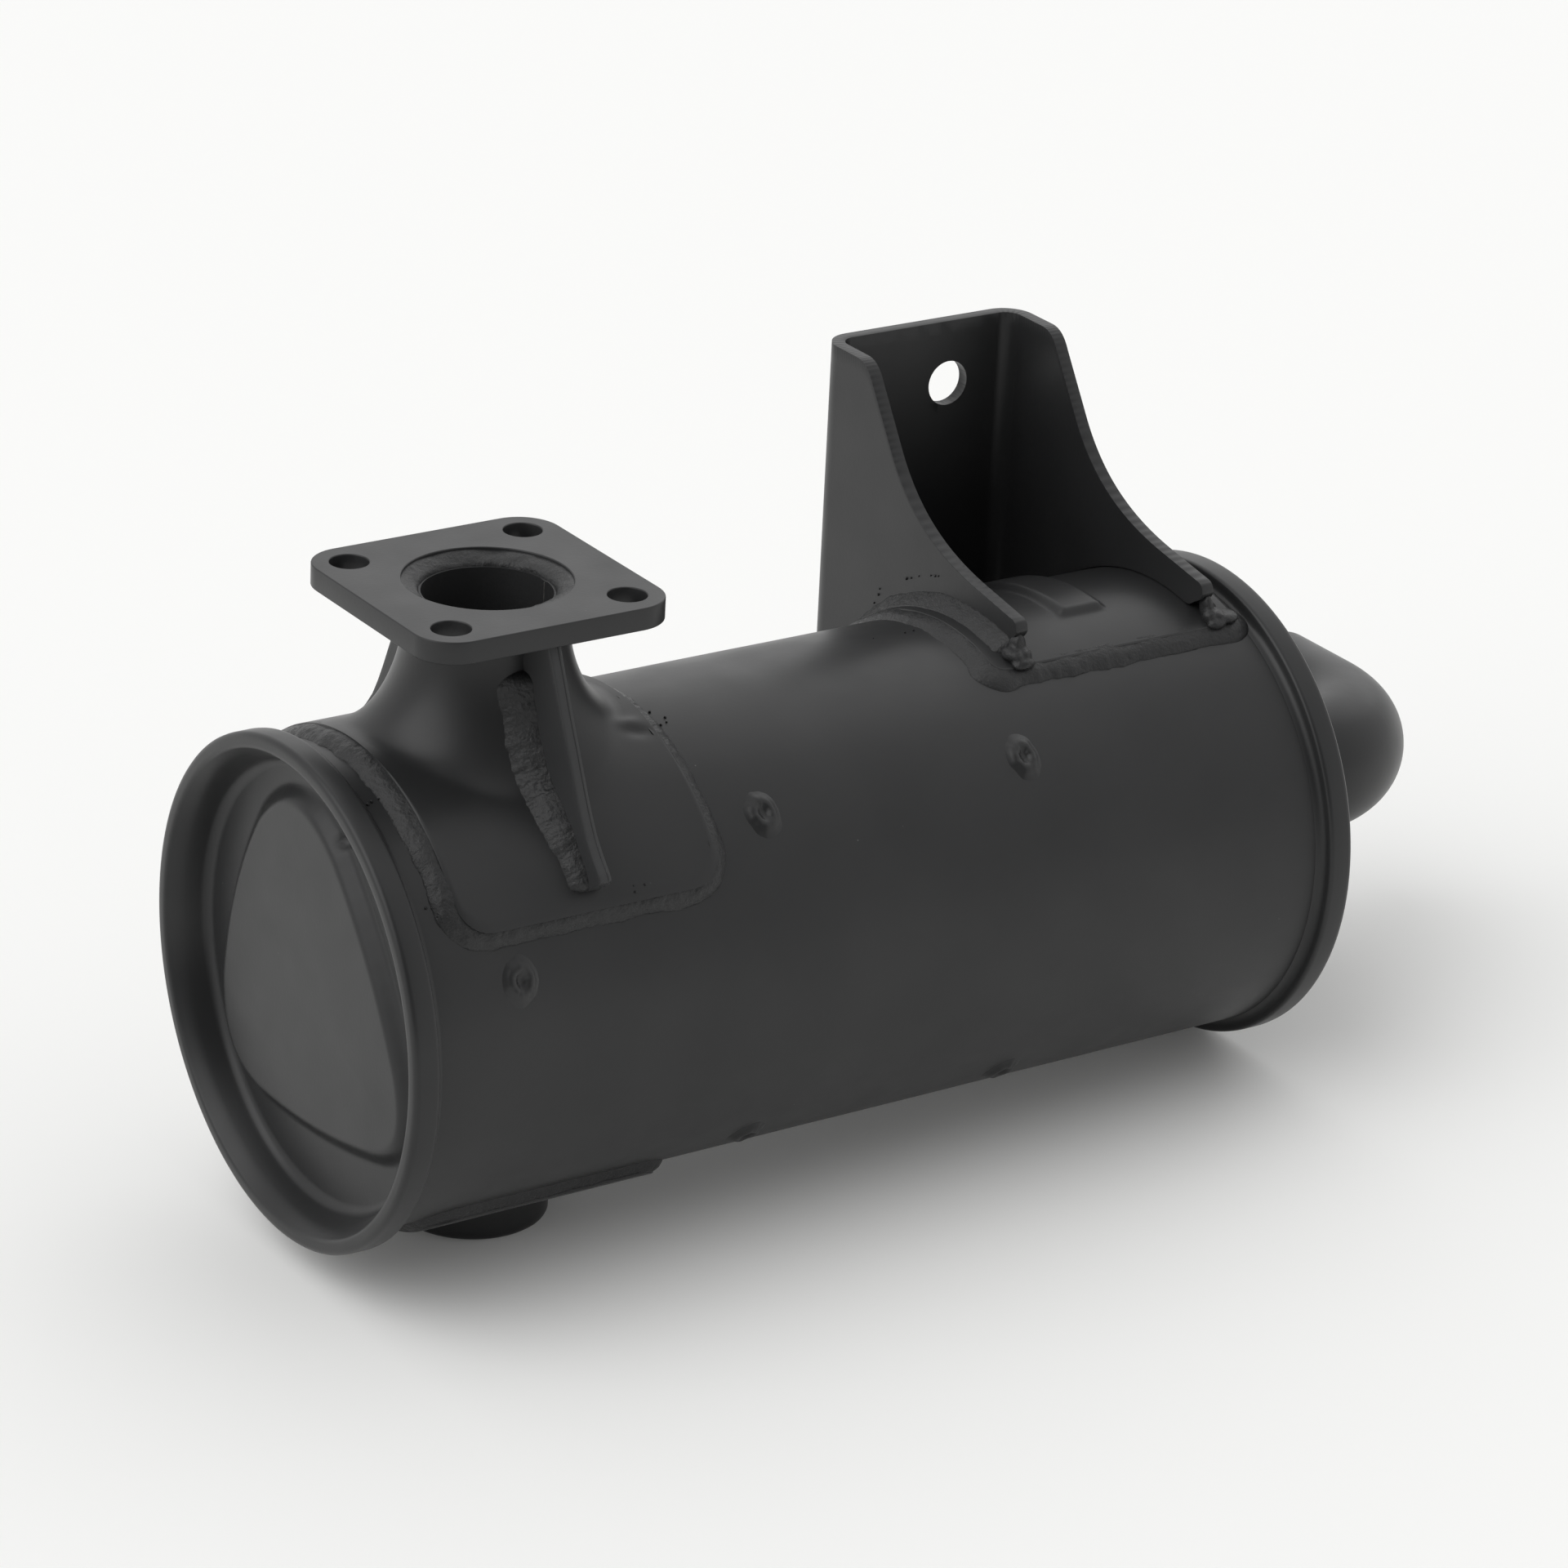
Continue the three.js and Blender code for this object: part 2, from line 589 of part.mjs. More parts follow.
function bracketDoubler() {
  const seat = SHELL_RADIUS + GAP;
  const top = seat + DOUBLER_SHEET;
  const plate = curvedPlate(roundedRows(
    doublerX, DOUBLER_LENGTH / 2, doublerMiddle, doublerHalf, 4, seat, top, 3,
  ));
  const x0 = BRACKET_X + RIB_OFFSET - RIB_WIDTH / 2;
  const x1 = x0 + RIB_WIDTH;
  const heights = [[RIB_FRONT_ANGLE, -0.2], [RIB_FRONT_ANGLE - 2.5, RIB_RISE]];
  for (let angle = RIB_FRONT_ANGLE - 10; angle > -58; angle -= 8) heights.push([angle, RIB_RISE]);
  heights.push([-60, -0.2]);
  const rib = skin(heights.map(([angle, rise]) => [
    onDrum(x0 - 1, angle, seat + 1),
    onDrum(x1 + 1, angle, seat + 1),
    onDrum(x1 - 1, angle, top + rise),
    onDrum(x0 + 1, angle, top + rise),
  ]));
  return plate.add(rib);
}

// A fillet bead between a bracket cheek and the doubler, outside the channel.
function bracketWeld(hand) {
  const face = BRACKET_X + hand * (BRACKET_WIDTH / 2 + GAP);
  const seat = SHELL_RADIUS + GAP + DOUBLER_SHEET + GAP;
  const nose = THREE.MathUtils.radToDeg(Math.asin((BRACKET_NOSE - 2.6) / seat));
  const angles = [];
  for (let angle = Math.min(17, nose); angle >= -70; angle -= 7.25) angles.push(angle);
  return skin(angles.map((angle, i) => {
    const full = i === 0 || i === angles.length - 1 ? 0.55 : 1;
    return [
      onDrum(face, angle, seat),
      onDrum(face + hand * 4.6 * full, angle, seat),
      onDrum(face + hand * 3.4 * full, angle, seat + 2.6 * full),
      onDrum(face, angle, seat + 4 * full),
    ];
  }));
}

// A lump of weld in front of each cheek, between its nose and the doubler.
function bracketNoseWeld(hand) {
  const x = BRACKET_X + hand * (BRACKET_WIDTH / 2 - BRACKET_SHEET / 2);
  const lump = new THREE.SphereGeometry(1, 12, 8).scale(3.6, 3.2, 5).rotateX(radians(12));
  lump.translate(x + hand * 0.8, -BRACKET_NOSE - 3.6, SHELL_RADIUS + 0.4);
  const seat = SHELL_RADIUS + GAP + DOUBLER_SHEET + GAP;
  return solid(lump).subtract(turnedX(rod(seat, x - 20, x + 20), 72));
}

function shell() {
  const end = 3.6;
  let body = turnedX(sleeve(SHELL_RADIUS - SHELL_SHEET, SHELL_RADIUS, end, BODY_LENGTH - end));
  body = body.subtract(turnedZ(rod(tubeRadius + GAP, -100, 100), INLET_X, 0, 28));
  for (const [, baffle, degrees] of PLUG_WELDS) {
    body = body.subtract(plugTool(rod(PLUG_RADIUS + GAP, 40, 100), baffle, degrees));
  }
  return body;
}

// A turned profile stood on the drum at a baffle, stretched round the drum.
function plugTool(profile, baffle, degrees) {
  const geometry = turned(profile, 12).scale(1, 1, PLUG_STRETCH);
  geometry.rotateX(Math.PI / 2).rotateX(radians(degrees));
  return solid(geometry.translate(BAFFLE_POSITIONS[baffle] + PLUG_OFFSET, 0, 0));
}

function plugWeld(baffle, degrees) {
  const foot = SHELL_RADIUS - SHELL_SHEET;
  return plugTool([
    [0, foot],
    [PLUG_RADIUS, foot],
    [PLUG_RADIUS, SHELL_RADIUS + 0.35],
    [PLUG_RADIUS + 1.6, SHELL_RADIUS + 0.35],
    [PLUG_RADIUS, SHELL_RADIUS + 1.3],
    [0, SHELL_RADIUS + 0.5],
  ], baffle, degrees);
}

// A dished plate with a flange; the flange runs toward the tail pipe.
function baffle(name) {
  const x = BAFFLE_POSITIONS[name] - BAFFLE_FLANGE / 2;
  const rim = SHELL_RADIUS - SHELL_SHEET - GAP;
  let plate = turnedX([
    [0, x],
    [rim - 1.5, x],
    [rim, x + 1.5],
    [rim, x + BAFFLE_FLANGE],
    [rim - BAFFLE_SHEET, x + BAFFLE_FLANGE],
    [rim - BAFFLE_SHEET, x + BAFFLE_SHEET],
    [0, x + BAFFLE_SHEET],
  ]);
  const cut = (radius, y) => solid(
    turned(rod(radius, -30, 30), 20).rotateZ(-Math.PI / 2).translate(x, y, 0),
  );
  if (name === "baffle_inlet") return plate.subtract(cut(16, 0));
  for (const sign of [-1, 1]) plate = plate.subtract(cut(CROSSOVER_RADIUS + GAP, sign * CROSSOVER_OFFSET));
  return plate;
}

function crossoverTube(sign) {
  const from = BAFFLE_POSITIONS.baffle_front - CROSSOVER_OVERHANG;
  const to = BAFFLE_POSITIONS.baffle_rear + CROSSOVER_OVERHANG;
  const profile = sleeve(CROSSOVER_RADIUS - CROSSOVER_SHEET, CROSSOVER_RADIUS, from, to);
  return solid(turned(profile, 20).rotateZ(-Math.PI / 2).translate(0, sign * CROSSOVER_OFFSET, 0));
}

function tailPipe() {
  const path = new THREE.CurvePath();
  const corner = ELBOW_X - ELBOW_BEND;
  path.add(new THREE.LineCurve3(new THREE.Vector3(PIPE_START, 0, 0), new THREE.Vector3(corner, 0, 0)));
  let last = new THREE.Vector3(corner, 0, 0);
  for (let i = 1; i <= BEND_STEPS; i += 1) {
    const turn = (Math.PI / 2) * (i / BEND_STEPS);
    const x = corner + ELBOW_BEND * Math.sin(turn);
    const here = new THREE.Vector3(x, ELBOW_BEND * (1 - Math.cos(turn)), 0);
    last = here;
    path.add(new THREE.LineCurve3(path.curves[path.curves.length - 1].v2, here));
  }
  path.add(new THREE.LineCurve3(last, new THREE.Vector3(ELBOW_X, ELBOW_MOUTH, 0)));
  const stations = [path.curves[0].v1, ...path.curves.map((curve) => curve.v2)];
  const ring = (radius) => stations.map((here, i) => {
    const turn = Math.max(0, Math.min(i - 1, BEND_STEPS)) * (Math.PI / 2 / BEND_STEPS);
    const across = new THREE.Vector3(-Math.sin(turn), Math.cos(turn), 0);
    const outline = [];
    for (let j = 0; j < PIPE_STEPS; j += 1) {
      const a = (j / PIPE_STEPS) * Math.PI * 2;
      const place = here.clone().addScaledVector(across, radius * Math.cos(a));
      place.z += radius * Math.sin(a);
      outline.push(place);
    }
    return outline;
  });
  return skin([...ring(PIPE_RADIUS), ...ring(PIPE_RADIUS - PIPE_SHEET).reverse()], true);
}

function tailPipeWeld() {
  const face = BODY_LENGTH - CAP_DEPTH + GAP;
  const inner = PIPE_RADIUS + GAP;
  return turnedX([
    [inner, face],
    [inner + 4.4, face],
    [inner + 3.2, face + 2.4],
    [inner, face + 3.6],
    [inner, face],
  ], 28);
}

addPart("shell", shell(), paint());
addPart("front_end_cap", frontEndCap(), paint());
addPart("rear_end_cap", rearEndCap(), paint());
addPart("inlet_flange", inletFlange(), paint());
addPart("inlet_tube", inletTube(), steel());
addPart("flange_weld", flangeWeld(), weldPaint());
addPart("inlet_saddle", inletSaddle(), paint());
addPart("saddle_weld", beadAround(
  roundedOutline(SADDLE_X, SADDLE_HALF_LENGTH, 0, SADDLE_HALF_ANGLE, SADDLE_CORNER, SHELL_RADIUS),
  SHELL_RADIUS,
  SADDLE_BEAD_WIDTH,
), weldPaint());
addPart("gusset_front", gusset(-1), paint());
addPart("gusset_rear", gusset(1), paint());
addPart("gusset_weld_front_left", gussetWeld(-1, -1), weldPaint());
addPart("gusset_weld_front_right", gussetWeld(-1, 1), weldPaint());
addPart("gusset_weld_rear_left", gussetWeld(1, -1), weldPaint());
addPart("gusset_weld_rear_right", gussetWeld(1, 1), weldPaint());
addPart("bottom_plate", bottomPlate(), paint());
addPart("bottom_plate_weld", beadAround(
  roundedOutline(INLET_X, PLATE_HALF_LENGTH, 180, PLATE_HALF_ANGLE, 8, SHELL_RADIUS),
  SHELL_RADIUS,
), weldPaint());
addPart("foot_cap", footCap(), paint());
addPart("bracket_doubler", bracketDoubler(), paint());
addPart("doubler_weld", beadAround(
  roundedOutline(doublerX, DOUBLER_LENGTH / 2, doublerMiddle, doublerHalf, 4, SHELL_RADIUS, 3),
  SHELL_RADIUS,
), weldPaint());
addPart("mounting_bracket", mountingBracket(), paint());
addPart("bracket_weld_left", bracketWeld(-1), weldPaint());
addPart("bracket_weld_right", bracketWeld(1), weldPaint());
addPart("bracket_nose_weld_left", bracketNoseWeld(-1), weldPaint());
addPart("bracket_nose_weld_right", bracketNoseWeld(1), weldPaint());
for (const name of Object.keys(BAFFLE_POSITIONS)) addPart(name, baffle(name), steel());
addPart("crossover_tube_front", crossoverTube(-1), steel());
addPart("crossover_tube_rear", crossoverTube(1), steel());
addPart("tail_pipe", tailPipe(), paint());
addPart("tail_pipe_weld", tailPipeWeld(), weldPaint());
for (const [name, ring, degrees] of PLUG_WELDS) addPart(name, plugWeld(ring, degrees), weldPaint());

// The origin is the middle of the bottom of the whole part.
const box = new THREE.Box3().setFromObject(group);
const middle = box.getCenter(new THREE.Vector3());
group.children.forEach((mesh) => mesh.geometry.translate(-middle.x, -middle.y, -box.min.z));

export default group;
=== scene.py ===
import math

import bmesh
import bpy
import numpy as np
from mathutils import Matrix, Vector, noise


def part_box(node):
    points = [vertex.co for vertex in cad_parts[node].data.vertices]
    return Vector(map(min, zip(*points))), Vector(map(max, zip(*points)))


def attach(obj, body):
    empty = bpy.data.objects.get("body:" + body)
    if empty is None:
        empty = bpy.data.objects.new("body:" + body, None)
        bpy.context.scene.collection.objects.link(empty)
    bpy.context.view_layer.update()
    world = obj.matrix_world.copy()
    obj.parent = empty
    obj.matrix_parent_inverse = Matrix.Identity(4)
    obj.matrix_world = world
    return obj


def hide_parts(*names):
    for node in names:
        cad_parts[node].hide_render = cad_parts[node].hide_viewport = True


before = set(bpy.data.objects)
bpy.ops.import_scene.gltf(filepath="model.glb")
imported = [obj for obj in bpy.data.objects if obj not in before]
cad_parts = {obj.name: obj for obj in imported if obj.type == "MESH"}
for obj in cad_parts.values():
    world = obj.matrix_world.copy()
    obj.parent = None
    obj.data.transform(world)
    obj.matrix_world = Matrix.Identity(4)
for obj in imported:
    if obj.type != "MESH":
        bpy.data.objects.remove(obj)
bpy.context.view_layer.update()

# ------ places taken from the CAD part
shell_lo, shell_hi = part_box("shell")
cap_lo, cap_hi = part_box("front_end_cap")
flange_lo, flange_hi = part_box("inlet_flange")
bracket_lo, bracket_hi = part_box("mounting_bracket")
pipe_lo, pipe_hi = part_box("tail_pipe")
foot_lo, foot_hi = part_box("foot_cap")
rear_lo, rear_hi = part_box("rear_end_cap")
tube_lo, tube_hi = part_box("inlet_tube")

# Pieces are worked out in millimetres, from the drum's axis at the front cap's face.
MM_PER_M = 1000
ORIGIN = Vector((cap_lo.x, (shell_lo.y + shell_hi.y) / 2, (shell_lo.z + shell_hi.z) / 2))


def mm(value, axis):
    return (value - ORIGIN[axis]) * MM_PER_M


LENGTH = mm(rear_hi.x, 0)
R_SHELL = (shell_hi.z - shell_lo.z) / 2 * MM_PER_M
R_RIM = (cap_hi.z - cap_lo.z) / 2 * MM_PER_M
INLET_X = (mm(flange_lo.x, 0) + mm(flange_hi.x, 0)) / 2
FLANGE_TOP = mm(flange_hi.z, 2)
FLANGE_BOTTOM = mm(flange_lo.z, 2)
FLANGE_HALF = (flange_hi.x - flange_lo.x) / 2 * MM_PER_M
BRACKET_X0, BRACKET_X1 = mm(bracket_lo.x, 0), mm(bracket_hi.x, 0)
BRACKET_BACK, BRACKET_TOP = mm(bracket_hi.y, 1), mm(bracket_hi.z, 2)
BRACKET_FRONT, BRACKET_BOTTOM = mm(bracket_lo.y, 1), mm(bracket_lo.z, 2)
BRACKET_MIDDLE = (BRACKET_X0 + BRACKET_X1) / 2
FOOT_Z = mm(foot_lo.z, 2)
PIPE_RADIUS = (pipe_hi.z - pipe_lo.z) / 2 * MM_PER_M
PIPE_X = mm(pipe_hi.x, 0) - PIPE_RADIUS
PIPE_Y = mm(pipe_hi.y, 1)
GAP = 0.3  # clearance between pieces
SHELL_SHEET, CAP_SHEET, SADDLE_SHEET, DOUBLER_SHEET = 2, 1.6, 2.8, 2.3

# ------ camera
CAMERA_PLACE = (-0.93665, -1.32075, 0.7893)
CAMERA_AZIMUTH, CAMERA_ELEVATION, CAMERA_ROLL = -34.3256, 23.0097, -2.8543
CAMERA_LENS, CAMERA_SENSOR = 136.97, 36


def linked(name, data):
    """A new object in the scene."""
    obj = bpy.data.objects.new(name, data)
    bpy.context.scene.collection.objects.link(obj)
    return obj


azimuth, elevation, roll = map(math.radians, (CAMERA_AZIMUTH, CAMERA_ELEVATION, CAMERA_ROLL))
back = Vector((math.sin(azimuth) * math.cos(elevation),
               -math.cos(azimuth) * math.cos(elevation), math.sin(elevation)))
level = Vector((math.cos(azimuth), math.sin(azimuth), 0))
upward = back.cross(level)
right = math.cos(roll) * level - math.sin(roll) * upward
up = math.sin(roll) * level + math.cos(roll) * upward
camera_data = bpy.data.cameras.new("camera")
camera_data.sensor_width = CAMERA_SENSOR
camera_data.lens = CAMERA_LENS
camera_data.clip_start, camera_data.clip_end = 0.05, 100
camera = linked("camera", camera_data)
camera.matrix_world = Matrix((
    (right.x, up.x, back.x, CAMERA_PLACE[0]),
    (right.y, up.y, back.y, CAMERA_PLACE[1]),
    (right.z, up.z, back.z, CAMERA_PLACE[2]),
    (0, 0, 0, 1),
))
bpy.context.scene.camera = camera


# ------ mesh helpers
def mesh_of(name, points, faces):
    """A mesh in the scene's metres from points in millimetres."""
    mesh = bpy.data.meshes.new(name)
    points = np.asarray(points, float).reshape(-1, 3)
    mesh.from_pydata((points / MM_PER_M + np.array(ORIGIN)).tolist(), [], faces)
    return mesh


def face_outward(mesh, weld=None):
    """Turns all faces outward, after joining points that lie within weld metres."""
    work = bmesh.new()
    work.from_mesh(mesh)
    if weld:
        bmesh.ops.remove_doubles(work, verts=work.verts, dist=weld)
    bmesh.ops.recalc_face_normals(work, faces=work.faces)
    work.to_mesh(mesh)
    work.free()


def piece(name, points, faces, material, slot, *nodes, sharp):
    """A visible piece from points in millimetres, standing for the CAD nodes named."""
    mesh = mesh_of(name, points, faces)
    face_outward(mesh, weld=2e-6)
    return dress(name, mesh, material, slot, *nodes, sharp=sharp)


def dress(name, mesh, material, slot, *nodes, sharp, bevel=None):
    """A visible piece from a mesh. Edges turning more than sharp degrees stay crisp."""
    mesh.name = name
    obj = linked(name, mesh)
    mesh.materials.clear()
    mesh.materials.append(material)
    if bevel:
        modifier = obj.modifiers.new("edge", "BEVEL")
        modifier.width = bevel / MM_PER_M
        modifier.segments = 3
        modifier.limit_method = "ANGLE"
        modifier.angle_limit = math.radians(sharp)
        modifier.harden_normals = True
        mesh = applied(obj)
    mesh.shade_smooth()
    mesh.set_sharp_from_angle(angle=math.radians(sharp))
    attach(obj, "root")
    if nodes:
        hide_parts(*nodes)
    return obj


def applied(obj):
    """The object's mesh with its modifiers made final."""
    bpy.context.view_layer.update()
    graph = bpy.context.evaluated_depsgraph_get()
    made = bpy.data.meshes.new_from_object(obj.evaluated_get(graph))
    old = obj.data
    name = old.name
    obj.modifiers.clear()
    obj.data = made
    bpy.data.meshes.remove(old)
    made.name = name
    return made


def drilled(obj, name, centre, radius, reach, steps):
    """The object's mesh with a round hole along Y, at centre (x, z), between the reach's two ys."""
    hole = [[(centre[0] + radius * math.cos(t), y, centre[1] + radius * math.sin(t))
             for t in np.linspace(0, 2 * math.pi, steps, endpoint=False)] for y in reach]
    cutter = linked(name, mesh_of(name, *grid(hole, False, True, caps=True)))
    cut = obj.modifiers.new(name, "BOOLEAN")
    cut.operation, cut.object = "DIFFERENCE", cutter
    mesh = applied(obj)
    used = cutter.data
    bpy.data.objects.remove(cutter)
    bpy.data.meshes.remove(used)
    return mesh


def grid(rows, round_u=False, round_v=False, caps=False):
    """Points and faces of a sheet over rows of points; it may close on itself in either way."""
    rows = np.asarray(rows, float)
    nu, nv = rows.shape[:2]
    faces = []
    for i in range(nu if round_u else nu - 1):
        for j in range(nv if round_v else nv - 1):
            a, b = i * nv + j, i * nv + (j + 1) % nv
            c, d = ((i + 1) % nu) * nv + (j + 1) % nv, ((i + 1) % nu) * nv + j
            faces.append((a, b, c, d))
    if caps:
        faces.append(tuple(range(nv)))
        faces.append(tuple((nu - 1) * nv + j for j in range(nv)))
    return rows.reshape(-1, 3), faces


def joined(*parts):
    """Several (points, faces) as one."""
    points, faces, count = [], [], 0
    for p, f in parts:
        points.append(np.asarray(p, float).reshape(-1, 3))
        faces += [tuple(i + count for i in face) for face in f]
        count += len(points[-1])
    return np.vstack(points), faces


def fbm(p, size, octaves, seed=0.0):
    """Smooth noise about -1 to 1 at a point in millimetres; size is its grain."""
    v = Vector((p[0] / size + seed, p[1] / size - seed * 0.7, p[2] / size + seed * 1.3))
    total, weight, full = 0.0, 1.0, 0.0
    for _ in range(octaves):
        total += weight * noise.noise(v)
        full += weight
        weight *= 0.5
        v = v * 2.03
    return total / full * 1.6


def dish(rows):
    """Points and faces of a turned sheet, with a face across the ring of its first points."""
    points, faces = grid(rows, True, False)
    faces.append(tuple(k * len(rows[0]) for k in range(len(rows))))
    return points, faces


def turns(steps):
    """Angles once round, in radians."""
    return [2 * math.pi * k / steps for k in range(steps)]


def about_x(profile, steps):
    """Profile of (x, radius) turned about the drum's axis; angles run from the top toward -Y."""
    return np.array([[(x, -r * math.sin(a), r * math.cos(a)) for x, r in profile]
                     for a in turns(steps)])


def about_z(profile, cx, steps):
    """Profile of (radius, z) turned about a vertical axis at cx."""
    return np.array([[(cx + r * math.cos(a), r * math.sin(a), z) for r, z in profile]
                     for a in turns(steps)])


def on_drum(x, degrees, radius):
    """The point at x and an angle from the top toward -Y, at a radius from the drum's axis."""
    a = math.radians(degrees)
    return np.array((x, -radius * math.sin(a), radius * math.cos(a)))


def arc(cx, cy, radius, start, end, steps):
    """Points of an arc in any plane, angles in degrees."""
    return [(cx + radius * math.cos(math.radians(start + (end - start) * k / steps)),
             cy + radius * math.sin(math.radians(start + (end - start) * k / steps)))
            for k in range(steps + 1)]


def quadratic(t, a, b, c):
    return (1 - t) ** 2 * a + 2 * t * (1 - t) * b + t * t * c


def cubic(t, a, b, c, d):
    return (1 - t) ** 3 * a + 3 * t * (1 - t) ** 2 * b + 3 * t * t * (1 - t) * c + t ** 3 * d


def evenly(line, count=None, step=None):
    """The line in evenly spaced points: count of them, or one every step round a closed line."""
    lengths = np.r_[0, np.cumsum(np.linalg.norm(np.diff(line, axis=0), axis=1))]
    if step:
        at = np.linspace(0, lengths[-1], int(lengths[-1] / step), endpoint=False)
    else:
        at = np.linspace(0, lengths[-1], count)
    return np.c_[np.interp(at, lengths, line[:, 0]), np.interp(at, lengths, line[:, 1])]


def unit(v):
    return v / np.linalg.norm(v)


def smooth(t):
    """An eased step from 0 to 1."""
    t = np.clip(t, 0, 1)
    return t * t * (3 - 2 * t)


# ------ materials
BLOTCH = 0.12  # how far the paint's tone drifts, as a share
SPECK_COLOUR = (0.11, 0.11, 0.11, 1)


def put(node, values):
    """Sets a node's input sockets."""
    for socket, number in values.items():
        node.inputs[socket].default_value = number


def paint(name, tone=0.021, shine=0.36, peel=0.05, grain=0.0, specks=True):
    """Satin black paint: faint tone drift, fine orange peel, dust specks, and grain where rough."""
    material = bpy.data.materials.new(name)
    material.use_nodes = True
    tree = material.node_tree
    tree.nodes.clear()
    new, link = tree.nodes.new, tree.links.new
    out = new("ShaderNodeOutputMaterial")
    shader = new("ShaderNodeBsdfPrincipled")
    link(shader.outputs[0], out.inputs[0])
    put(shader, {"Specular IOR Level": 0.35})
    where = new("ShaderNodeTexCoord")

    def noise_node(scale, detail, rough=0.5):
        n = new("ShaderNodeTexNoise")
        put(n, {"Scale": scale, "Detail": detail, "Roughness": rough})
        link(where.outputs["Object"], n.inputs["Vector"])
        return n

    def ramp(source, low, high, a, b):
        r = new("ShaderNodeValToRGB")
        r.color_ramp.elements[0].position = low
        r.color_ramp.elements[1].position = high
        r.color_ramp.elements[0].color = (*a, 1)
        r.color_ramp.elements[1].color = (*b, 1)
        link(source, r.inputs[0])
        return r

    cloud = noise_node(26, 4)
    dark = tuple(tone * (1 - BLOTCH) * c for c in (0.98, 1.0, 1.03))
    light = tuple(tone * (1 + BLOTCH) * c for c in (0.99, 1.0, 1.02))
    base = ramp(cloud.outputs["Fac"], 0.3, 0.7, dark, light)
    colour = base.outputs["Color"]
    fine = noise_node(900, 2)
    if specks:
        cells = new("ShaderNodeTexVoronoi")
        put(cells, {"Scale": 95})
        link(where.outputs["Object"], cells.inputs["Vector"])
        dot = ramp(cells.outputs["Distance"], 0.012, 0.03, (1, 1, 1), (0, 0, 0))
        some = ramp(noise_node(31, 1).outputs["Fac"], 0.6, 0.64, (0, 0, 0), (1, 1, 1))
        both = new("ShaderNodeMath")
        both.operation = "MULTIPLY"
        link(dot.outputs["Color"], both.inputs[0])
        link(some.outputs["Color"], both.inputs[1])
        mix = new("ShaderNodeMix")
        mix.data_type = "RGBA"
        link(both.outputs[0], mix.inputs["Factor"])
        link(colour, mix.inputs["A"])
        put(mix, {"B": SPECK_COLOUR})
        colour = mix.outputs["Result"]
    link(colour, shader.inputs["Base Color"])
    patch = noise_node(60, 3)
    rough = new("ShaderNodeMapRange")
    put(rough, {"From Min": 0.3, "From Max": 0.7, "To Min": shine - 0.025, "To Max": shine + 0.035})
    link(patch.outputs["Fac"], rough.inputs["Value"])
    link(rough.outputs["Result"], shader.inputs["Roughness"])
    bump = new("ShaderNodeBump")
    put(bump, {"Strength": peel, "Distance": 0.0003})
    link(fine.outputs["Fac"], bump.inputs["Height"])
    normal = bump.outputs["Normal"]
    if grain:
        coarse = noise_node(950, 4, 0.62)
        second = new("ShaderNodeBump")
        put(second, {"Strength": grain, "Distance": 0.0007})
        link(coarse.outputs["Fac"], second.inputs["Height"])
        link(normal, second.inputs["Normal"])
        normal = second.outputs["Normal"]
    link(normal, shader.inputs["Normal"])
    return material


def bare_steel(name):
    """Sooty, lightly brushed steel, for what is inside the drum and for the bright strip along the
    tube's seam.
    """
    material = bpy.data.materials.new(name)
    material.use_nodes = True
    tree = material.node_tree
    shader = tree.nodes["Principled BSDF"]
    put(shader, {"Metallic": 0.85})
    where = tree.nodes.new("ShaderNodeTexCoord")
    stretch = tree.nodes.new("ShaderNodeMapping")
    put(stretch, {"Scale": (1, 14, 14)})
    grain = tree.nodes.new("ShaderNodeTexNoise")
    put(grain, {"Scale": 60, "Detail": 4})
    colours = tree.nodes.new("ShaderNodeValToRGB")
    colours.color_ramp.elements[0].color = (0.09, 0.085, 0.08, 1)
    colours.color_ramp.elements[1].color = (0.32, 0.31, 0.3, 1)
    rough = tree.nodes.new("ShaderNodeMapRange")
    put(rough, {"To Min": 0.35, "To Max": 0.6})
    link = tree.links.new
    link(where.outputs["Object"], stretch.inputs["Vector"])
    link(stretch.outputs["Vector"], grain.inputs["Vector"])
    link(grain.outputs["Fac"], colours.inputs["Fac"])
    link(colours.outputs["Color"], shader.inputs["Base Color"])
    link(grain.outputs["Fac"], rough.inputs["Value"])
    link(rough.outputs["Result"], shader.inputs["Roughness"])
    bump = tree.nodes.new("ShaderNodeBump")
    put(bump, {"Strength": 0.08, "Distance": 0.0002})
    link(grain.outputs["Fac"], bump.inputs["Height"])
    link(bump.outputs["Normal"], shader.inputs["Normal"])
    return material


BODY = paint("body_paint")
PLATE = paint("plate_paint", tone=0.023, shine=0.39, peel=0.08)
WELD = paint("weld_paint", tone=0.02, shine=0.35, peel=0.1, grain=0.5, specks=False)
SOOT = paint("bore_paint", tone=0.022, shine=0.5, peel=0.1, grain=0.1, specks=False)
# The gussets get a lighter copy of the black paint: painted light that lifts faces which render in
# shade.
GUSSET_LIGHTENED = paint("gusset_paint_lightened", tone=0.036, shine=0.42, peel=0.08)
STEEL = bare_steel("inner_steel")
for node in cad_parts.values():
    node.data.materials.clear()
    node.data.materials.append(STEEL)


